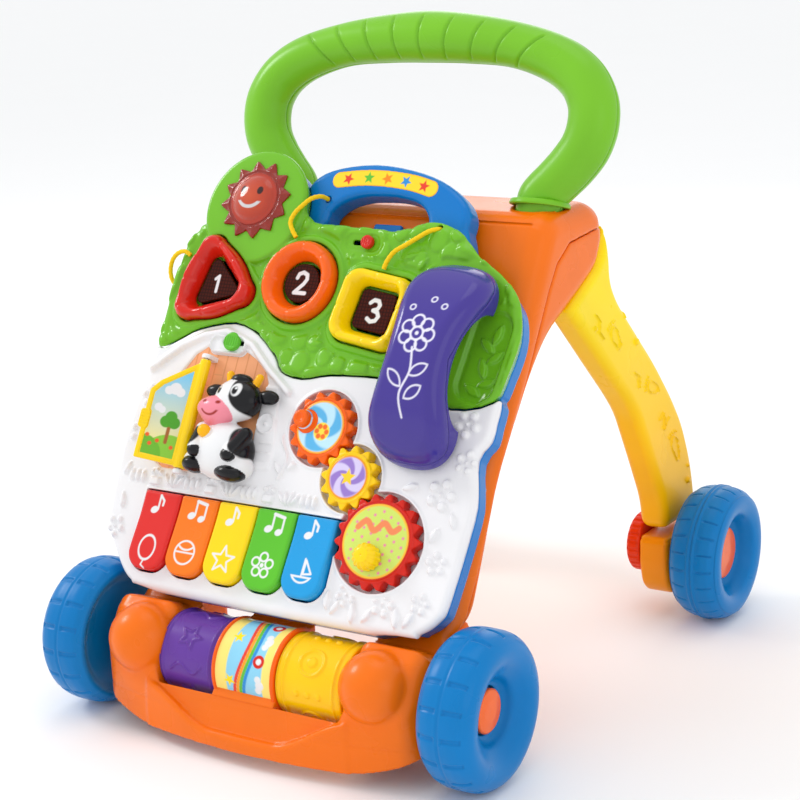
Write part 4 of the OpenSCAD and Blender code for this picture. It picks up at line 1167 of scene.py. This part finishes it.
def shape_ring(kind, material, slot):
    at = DIGITS[kind][0]
    u, v, n, samples = grid((at[0] - 37, at[1] - 33, -5), (at[0] + 37, at[1] + 40, 15.5), (0.55, 0.55, 0.5))
    edge, hole = ring_fields(kind, u, v)
    rise = (n + 3.6) / 17.6
    inner = hole - 8.6 * np.clip(rise, 0, 1) ** 1.6
    body = both(both(edge + 0.5 + 2.2 * ramp(n - 2, 9), n - 14, 9), -3.6 - n, 1.2)
    body = both(body, -inner, 5)
    far, angle = np.hypot(u - at[0], v - at[1]), np.arctan2(v - at[1], u - at[0])
    crease = np.abs((angle * 8 / (2 * pi) + 0.5) % 1 - 0.5) * 2 * pi / 8 * np.maximum(far, 1)
    body = body + 0.5 * np.exp(-(crease / 1.1) ** 2) * ramp(4 - n, 6)
    done(skin("toy_ring_" + kind, body, samples, PANEL), material, "ring_" + kind, slot, "ring_" + kind)


for kind, material, slot in (("triangle", RED_TOY, "knob_red"), ("circle", ORANGE_TOY, "toy_orange"),
                             ("square", YELLOW_TOY, "toy_yellow")):
    button(kind)
    shape_ring(kind, material, slot)


# ---- Gears ----
def swirl(a, b, arms, twist):
    """Positive and negative in turns round a spiral."""
    return np.cos(arms * (np.arctan2(b, a) - np.log(np.hypot(a, b) + 2) * twist))


def gear_ink(kind, a, b, far, ground):
    colour = np.broadcast_to(ground, (len(a), 3))
    r = GEARS[kind][1]
    if kind == "orange":
        colour = mixed(colour, far - r + 6, srgb("BFE6F5"))
        colour = mixed(colour, np.maximum(-3 * swirl(a, b, 3, 1.6), far - r + 7), srgb("5CB4E4"), 1)
        colour = mixed(colour, disc(a, b, (2, -3), 6.5), srgb("FFE24A"))
        petals = union([disc(a, b, (2 + 4 * cos(k * pi / 3), -3 + 4 * sin(k * pi / 3)), 1.9)
                                    for k in range(6)])
        colour = mixed(colour, petals, srgb("F4702A"))
        return mixed(colour, np.abs(far - r + 6) - 0.7, srgb("FFB43C"))
    if kind == "yellow":
        colour = mixed(colour, far - r + 6, srgb("D9CCF0"))
        colour = mixed(colour, np.maximum(-3 * swirl(a, b, 4, 1.3), far - r + 7), srgb("9A7CCB"), 1)
        colour = mixed(colour, star(a, b, (0, 0), 3, 6.5, 5, 20), srgb("FFD22E"))
        return mixed(colour, np.abs(far - r + 6) - 0.7, srgb("F29A1C"))
    colour = mixed(colour, far - r + 6.5, srgb("CFE36A"))
    dots = np.hypot((a + 40) % 6.4 - 3.2, (b + 40 + 3.2 * ((a + 40) // 6.4 % 2)) % 6.4 - 3.2) - 1.1
    colour = mixed(colour, np.maximum(dots, far - r + 8), srgb("E88CA8"))
    wave = stroke(a, b, curve([(-16, 8), (-10, 13), (-3, 7), (4, 13), (11, 8), (16, 11)], 6, False), 2.2)
    colour = mixed(colour, wave, srgb("F08A5A"))
    return mixed(colour, np.abs(far - r + 6.5) - 0.7, srgb("F7C23A"))


def gear(kind, ground, slot):
    at, r, teeth, phase = GEARS[kind]
    reach = r + 4
    a, b, n, samples = grid((-reach, -reach, -6), (reach, reach, 13), (0.5, 0.5, 0.5))
    far, turn = np.hypot(a, b), np.arctan2(b, a) - radians(phase)
    edge = (far - (r - 0.4 + 2.4 * np.cos(teeth * turn))) * 0.82
    rim = 4.2 + 0.9 * ramp(np.abs(far - r + 3.6) - 1.4, 1)
    body = np.maximum(both(edge, n - rim, 1.3), -5 - n)
    body = either(body, slab(disc(a, b, (0, 0), r - 5), n, 0, 5, 0.8), 0.5)
    if kind == "orange":
        crescent = np.maximum(disc(a, b, (-12, 3), 9), -disc(a, b, (-15, 4), 6.6))
        body = without(body, np.maximum(crescent + 0.4, 4.1 - n), 0.4)
        knob = both(disc(a, b, (-15, 4), 6.3), n - 11, 2.6)
        knob = without(knob, ball(a, b, n, (-15, 4, 14.4), 5))
        body = either(body, np.maximum(knob, 3 - n), 0.8)
    body = without(body, np.maximum(far - 3.2, n - 1.9))

    def ink(x, y, z):
        d = np.hypot(x, y)
        flat = gear_ink(kind, x, y, d, ground)
        face = np.maximum(4.6 - z, z - 5.4) if kind == "orange" else 4.6 - z
        return np.where((np.maximum(face, d - r + 5.3) < 0)[:, None], flat, ground)

    place = PANEL @ shifted(at[0], at[1], 0)
    done(skin("toy_gear_" + kind, body, samples, place, ink), PRINTED, "gear_" + kind, slot, "gear_" + kind)


gear("orange", DEEP_ORANGE, "toy_orange")
gear("yellow", srgb("FFCE0A"), "toy_yellow")
gear("red", RED, "knob_red")


def gear_knob():
    profile = rounded([(0.01, 5), (9, 5), (9.4, 7), (9.4, 13.5), (7.6, 16), (5, 17.4), (0.01, 18)],
                      1.6, fine=0.6)
    dent = lambda angle, r, h: -0.8 * (r > 5) * (0.5 - 0.5 * np.cos(14 * angle)) * (h < 17)
    at = GEARS["red"][0]
    place = PANEL @ axes((at[0] - 1, at[1] - 12, 0), (0, 0, 1), (1, 0, 0), (0, 1, 0))
    done(lathe("turning_knob", profile, 168, place, dent), YELLOW_TOY, "gear_red", "toy_yellow",
         "gear_knob")


gear_knob()


# ---- Keys ----
def key_figure(k, a, b):
    """A note above a simple picture, white on the key."""
    note = np.minimum(oval(a, b, (13, 46), (3.4, 2.6), 20), pill(a, b, (15.9, 46.6), (15.9, 57), 0.8))
    if k % 2:
        note = union([note, oval(a, b, (22, 44.6), (3, 2.4), 20),
                                  pill(a, b, (24.5, 45), (24.5, 55.4), 0.8),
                                  pill(a, b, (15.9, 57), (24.5, 55.4), 1.2)])
    else:
        note = np.minimum(note, stroke(a, b, [(15.9, 57), (19.6, 53.4), (19.4, 50)], 0.9))
    at = (16.6, 19)
    rim = lambda field: np.abs(field) - 0.7
    if k == 0:
        string = stroke(a, b, [(16.6, 9), (15, 5), (18, 3)], 0.6)
        figure = np.minimum(rim(oval(a, b, (16.6, 18), (7, 9))), string)
    elif k == 1:
        figure = union([rim(disc(a, b, at, 8.5)), pill(a, b, (8.4, 19), (24.8, 19), 0.6),
                                    np.maximum(rim(disc(a, b, (16.6, 30), 9)), disc(a, b, at, 8.5))])
    elif k == 2:
        figure = rim(star(a, b, at, 4.2, 10, 5, 90))
    elif k == 3:
        petals = [rim(disc(a, b, (16.6 + 6 * cos(t), 20 + 6 * sin(t)), 3.1))
                  for t in np.arange(5) * 2 * pi / 5 + 0.3]
        figure = union(petals + [disc(a, b, (16.6, 20), 1.6)])
    else:
        hull = np.maximum(disc(a, b, (16.6, 22), 9), b - 17)
        figure = union([rim(hull), pill(a, b, (16.6, 17), (16.6, 30), 0.6),
                                    rim(outline(a, b, [(17.6, 19), (17.6, 29), (24, 20)]))])
    return np.minimum(note, figure)


def key(k, name, ground, slot):
    a, b, n, samples = grid((-0.6, 11, -6), (34, 72, 8), (0.42, 0.42, 0.5))
    edge = rect(a, b, (16.6, 41), (16.6, 29), 2)
    foot = rect(a, b, (16.6, 50), (16.6, 38), 13.5)
    top = 4.2 + 2.8 * ramp(b - 62, 44)
    body = both(both(np.maximum(edge, foot), n - top, 2.8), -5 - n, 0.6)
    body = np.minimum(body, np.maximum(np.hypot(b - 69, n + 3.5) - 1.8, np.abs(a - 16.6) - 16.6))

    def ink(x, y, z):
        colour = np.broadcast_to(ground, (len(x), 3))
        marks = np.maximum(key_figure(k, x, y - 10), 3.6 - z)
        return mixed(colour, marks, WHITE)

    place = PANEL @ shifted(-125.6 + 34 * k, 0, 0)
    done(skin("piano_key_" + name, body, samples, place, ink), PRINTED, "key_" + name, slot, "key_" + name)


for k, (name, ground, slot) in enumerate((
        ("red", srgb("E02A26"), "knob_red"), ("orange", srgb("F97A12"), "toy_orange"),
        ("yellow", srgb("FFD80A"), "toy_yellow"), ("green", srgb("5CBF2A"), "leaf_green"),
        ("blue", srgb("1C9BDC"), "shell_blue"))):
    key(k, name, ground, slot)


# ---- Barn door, cow and sliders ----
DOOR = PANEL @ axes((-99, 0, 7), (-cos(pi / 6), 0, 0.5), (0, 1, 0), (-0.5, 0, -cos(pi / 6)))
LEAF = [(2, 89), (34, 89), (34, 140), (28, 148), (2, 168)]


def door_ink(u, v):
    rise = np.clip((v - 96) / 60, 0, 1)[:, None]
    colour = srgb("FFE98A") * (1 - rise) + srgb("7CCBF2") * rise
    for a, b, r in ((12, 142, 3.4), (16, 144, 4.4), (20.5, 142, 3.2), (22, 127, 2.6), (25, 128.4, 3)):
        colour = mixed(colour, disc(u, v, (a, b), r), WHITE)
    colour = mixed(colour, disc(u, v, (10, 90), 20), srgb("8CCB3E"))
    colour = mixed(colour, disc(u, v, (30, 92), 15), srgb("6FB832"))
    colour = mixed(colour, pill(u, v, (14, 104), (14, 116), 1.3), srgb("A8642E"))
    colour = mixed(colour, union([disc(u, v, (14 + a, 119 + b), 4.4) for a, b in (
        (-3, 0), (3, 0), (0, 4))]), srgb("4FA32A"))
    for a, b in ((20, 104), (25, 101), (28, 107), (9, 101)):
        colour = mixed(colour, disc(u, v, (a, b), 1.5), srgb("F0622A"))
    return colour


def barn_door():
    x, y, z, samples = grid((-5, 87, -5), (38, 171, 5), (0.6, 0.6, 0.5))
    plate = outline(x, y, LEAF)
    body = both(both(plate, np.abs(z) - 2, 1), -2.2 - 0.3 * x, 0.5)
    body = without(body, np.maximum(plate + 3.4, z + 1.2), 0.5)
    body = without(body, np.maximum(plate + 3.4, 1.2 - z), 0.5)
    post = both(np.hypot(x, z) - 4, np.abs(y - 129) - 41, 0.8)
    body = either(body, post, 1)
    ridges = 0.5 * (np.abs(y % 2.4 - 1.2) < 0.5)
    tab = both(rect(x, y, (33, 118), (3.6, 7), 2), np.abs(z) - 2.6 + ridges, 0.5)
    body = without(either(body, tab, 0.5), np.maximum(np.hypot(x, z) - 1.6, 0 * y))
    done(skin("door_leaf", body, samples, DOOR), YELLOW_TOY, "door", "toy_yellow", "barn_door")
    picture = lambda u, v: outline(u, v, LEAF) + 3.6
    front = DOOR @ axes((0, 0, 0), (1, 0, 0), (0, 1, 0), (0, 0, -1))
    label("door_picture", (2, 88), (34, 166), picture, door_ink, 1.0, "door", "toy_yellow", front)


barn_door()


def rod(x, y, z, a, b, r):
    """A round-ended rod between two points."""
    a, b = np.array(a, float), np.array(b, float)
    e = b - a
    t = np.clip(((x - a[0]) * e[0] + (y - a[1]) * e[1] + (z - a[2]) * e[2]) / (e @ e), 0, 1)
    return np.sqrt((x - a[0] - t * e[0]) ** 2 + (y - a[1] - t * e[1]) ** 2 + (z - a[2] - t * e[2]) ** 2) - r


def cow_parts(x, y, z):
    """The cow's fields by colour."""
    trunk, head = ball(x, y, z, (-63, 105, 7), (25, 21, 16)), ball(x, y, z, (-60, 143, 9), (19, 15.5, 13))
    white = either(trunk, head, 3)
    for s in (-1, 1):
        white = either(white, ball(x, y, z, (-64 + 19 * s, 95, 8), (10, 9, 10)), 2)
        white = either(white, rod(x, y, z, (-63 + 19 * s, 118, 12), (-64 + 16 * s, 104, 19), 5.4), 1.5)
    black = union(
        [ball(x, y, z, (-81.5, 92, 12), (9.8, 6, 9)), ball(x, y, z, (-49, 89, 12), (12, 6, 9))]
        + [ball(x, y, z, (-64 + 15 * s, 101, 20), (5.6, 4.8, 5)) for s in (-1, 1)]
        + [ball(x, y, z, (-60 + 23 * s, 148, 6), (9, 5.4, 4.4)) for s in (-1, 1)]
        + [ball(x, y, z, (-60, 157, 10), (9, 5, 7))])
    snout, chin = ball(x, y, z, (-72.5, 133.5, 13), (17, 10, 11)), ball(x, y, z, (-73, 129, 12), (11, 9, 9))
    pink = either(snout, chin, 2)
    horns = [rod(x, y, z, (-60 + 11 * s, 155, 8), (-60 + 13 * s, 161, 8), 3) for s in (-1, 1)]
    gold = union(horns + [ball(x, y, z, (-74, 115.5, 21), 4.8)])
    return white, black, pink, gold


def cow():
    x, y, z, samples = grid((-97, 78, -2), (-26, 166, 28), (0.6, 0.6, 0.6))
    white, black, pink, gold = cow_parts(x, y, z)
    body = either(either(white, black, 0.8), either(pink, gold, 0.3), 0.8)

    def ink(x, y, z):
        white, black, pink, gold = cow_parts(x, y, z)
        colour = np.broadcast_to(WHITE, (len(x), 3))
        patches = union([oval(x, y, (-43, 113), (8, 13), 20),
                                     oval(x, y, (-84, 111), (6, 8), -15),
                                     np.maximum(oval(x, y, (-46, 148), (15, 16), 10), -60 - x)])
        colour = mixed(colour, patches, BLACK, 0.6)
        for s in (-1, 1):
            eye = np.array((-63 + 7.5 * s, 148))
            for spot, shade, soft in ((oval(x, y, eye, (4, 5.2)), WHITE, 0.4),
                                      (oval(x, y, eye + (-0.8, -0.8), (2.2, 3.2)), BLACK, 0.4),
                                      (disc(x, y, eye + (-0.2, 1), 0.9), WHITE, 0.3)):
                colour = mixed(colour, np.maximum(spot, 12 - z), shade, soft)
        nearest = np.argmin([white, pink, black, gold], 0)
        colour = np.where((nearest == 1)[:, None], PINK, colour)
        for s in (-1, 1):
            nostril = np.maximum(oval(x, y, (-73 + 6 * s, 137), (1.9, 1.3)), 16 - z)
            colour = mixed(colour, nostril, DARK_RED, 0.4)
        smile = np.maximum(np.abs(disc(x, y, (-73, 136), 8.5)) - 0.7, np.maximum(y - 131, 12 - z))
        colour = mixed(colour, smile, DARK_RED, 0.4)
        colour = np.where((nearest == 2)[:, None], BLACK, colour)
        return np.where((nearest == 3)[:, None], GOLD, colour)

    done(skin("seated_cow", np.maximum(body, -1.4 - z), samples, PANEL, ink), PRINTED, "panel", "shell_white",
         "cow")


cow()


def slider(name, at, r, material, slot):
    a, b, n, samples = grid((-r - 1, -r - 1, -6), (r + 1, r + 1, 6), (0.35, 0.35, 0.35))
    ridges = 0.5 * (np.abs(a % 2 - 1) < 0.4) * (np.abs(b) < r * 0.55)
    knob = np.maximum(both(np.hypot(a, b) - r, n - 4.4 + ridges, 1.4), 0.3 - n)
    stem = np.maximum(rect(a, b, (0, 0), (2, 1.4), 0.4), np.maximum(n - 1, -5 - n))
    done(skin(name + "_grip", np.minimum(knob, stem), samples, PANEL @ shifted(*at, 0)), material, name, slot,
         name)


slider("mode_slider", MODE, 7, GREEN_TOY, "leaf_green")
slider("volume_slider", VOLUME, 5, RED_TOY, "knob_red")


# ---- Handset ----
def handset():
    place = PANEL @ turned_about_z((*PHONE, 0.3), -4)
    a, b, n, samples = grid((-31, -74, 0), (31, 74, 45), (0.6, 0.6, 0.6))
    end = np.clip(np.abs(b) / 72, 0, 1)
    crown = 43 - 29 * end ** 2.3
    under = np.where(np.abs(b) < 41, 26 * np.sqrt(np.maximum(1 - (b / 41) ** 2, 0)) ** 0.8, 2)
    side = [(0, 73), (13, 71.5), (23, 66.5), (29, 58), (30.6, 47), (28.4, 34), (25.4, 18), (24.4, 0)]
    side += [(x, -y) for x, y in side[-2::-1]]
    plan = outline(a, b, curve(side + [(-x, y) for x, y in side[-2:0:-1]], 4))
    lift = 0.9 * (1 - (a / 32) ** 2)
    body = both(plan, (n - crown - lift) * 0.86, 11)
    body = both(body, (np.maximum(under, 1.9) - n) * 0.8, 3.5)
    seam_b = [0, 30, 56, 74]
    seam = np.interp(np.abs(b), seam_b, [34, 25, 12, 12])
    upper = both(body, seam + 0.12 - n, 0.7)
    lower = both(body, n - seam + 0.12, 0.7)

    def ink(x, y, z):
        colour = np.broadcast_to(PURPLE, (len(x), 3))
        stem = stroke(x, y, curve([(2, -44), (-2, -30), (3, -14), (0, 2)], 6, False), 0.75)
        petals = [np.abs(disc(x, y, (9 * cos(t), 12 + 9 * sin(t)), 4.4)) - 0.7
                  for t in np.arange(7) * 2 * pi / 7]
        bloom = np.minimum(union(petals), np.abs(disc(x, y, (0, 12), 4.6)) - 0.7)
        bloom = np.minimum(bloom, disc(x, y, (0, 12), 1.4))
        fronds = union([np.abs(leaf(x, y, at, 15, 7, turn)) - 0.6 for at, turn in (
            ((8, -27), 40), ((-8, -20), 140), ((9, -12), 35))])
        small = [np.abs(disc(x, y, at, 2)) - 0.5 for at in ((-11, 30), (12, 34), (2, 38))]
        marks = union([stem, bloom, fronds] + small)
        return mixed(colour, np.maximum(marks, 16 - z), srgb("E9E6F6"), 0.35)

    done(skin("handset_top", upper, samples, place, ink), PHONE_PRINT, "handset", "handset_purple",
         "handset_front")
    done(skin("handset_base", lower, samples, place), PURPLE_PHONE, "handset", "handset_purple",
         "handset_back")


handset()

for material, nodes in ((STEEL, ("front_axles", "rear_axles", "roller_axle", "panel_screws",
                                 "door_pin")), (BOARD, ("circuit_board",)), (DARK, ("speaker", "batteries"))):
    for name in nodes:
        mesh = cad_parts[name].data
        mesh.materials.clear()
        mesh.materials.append(material)
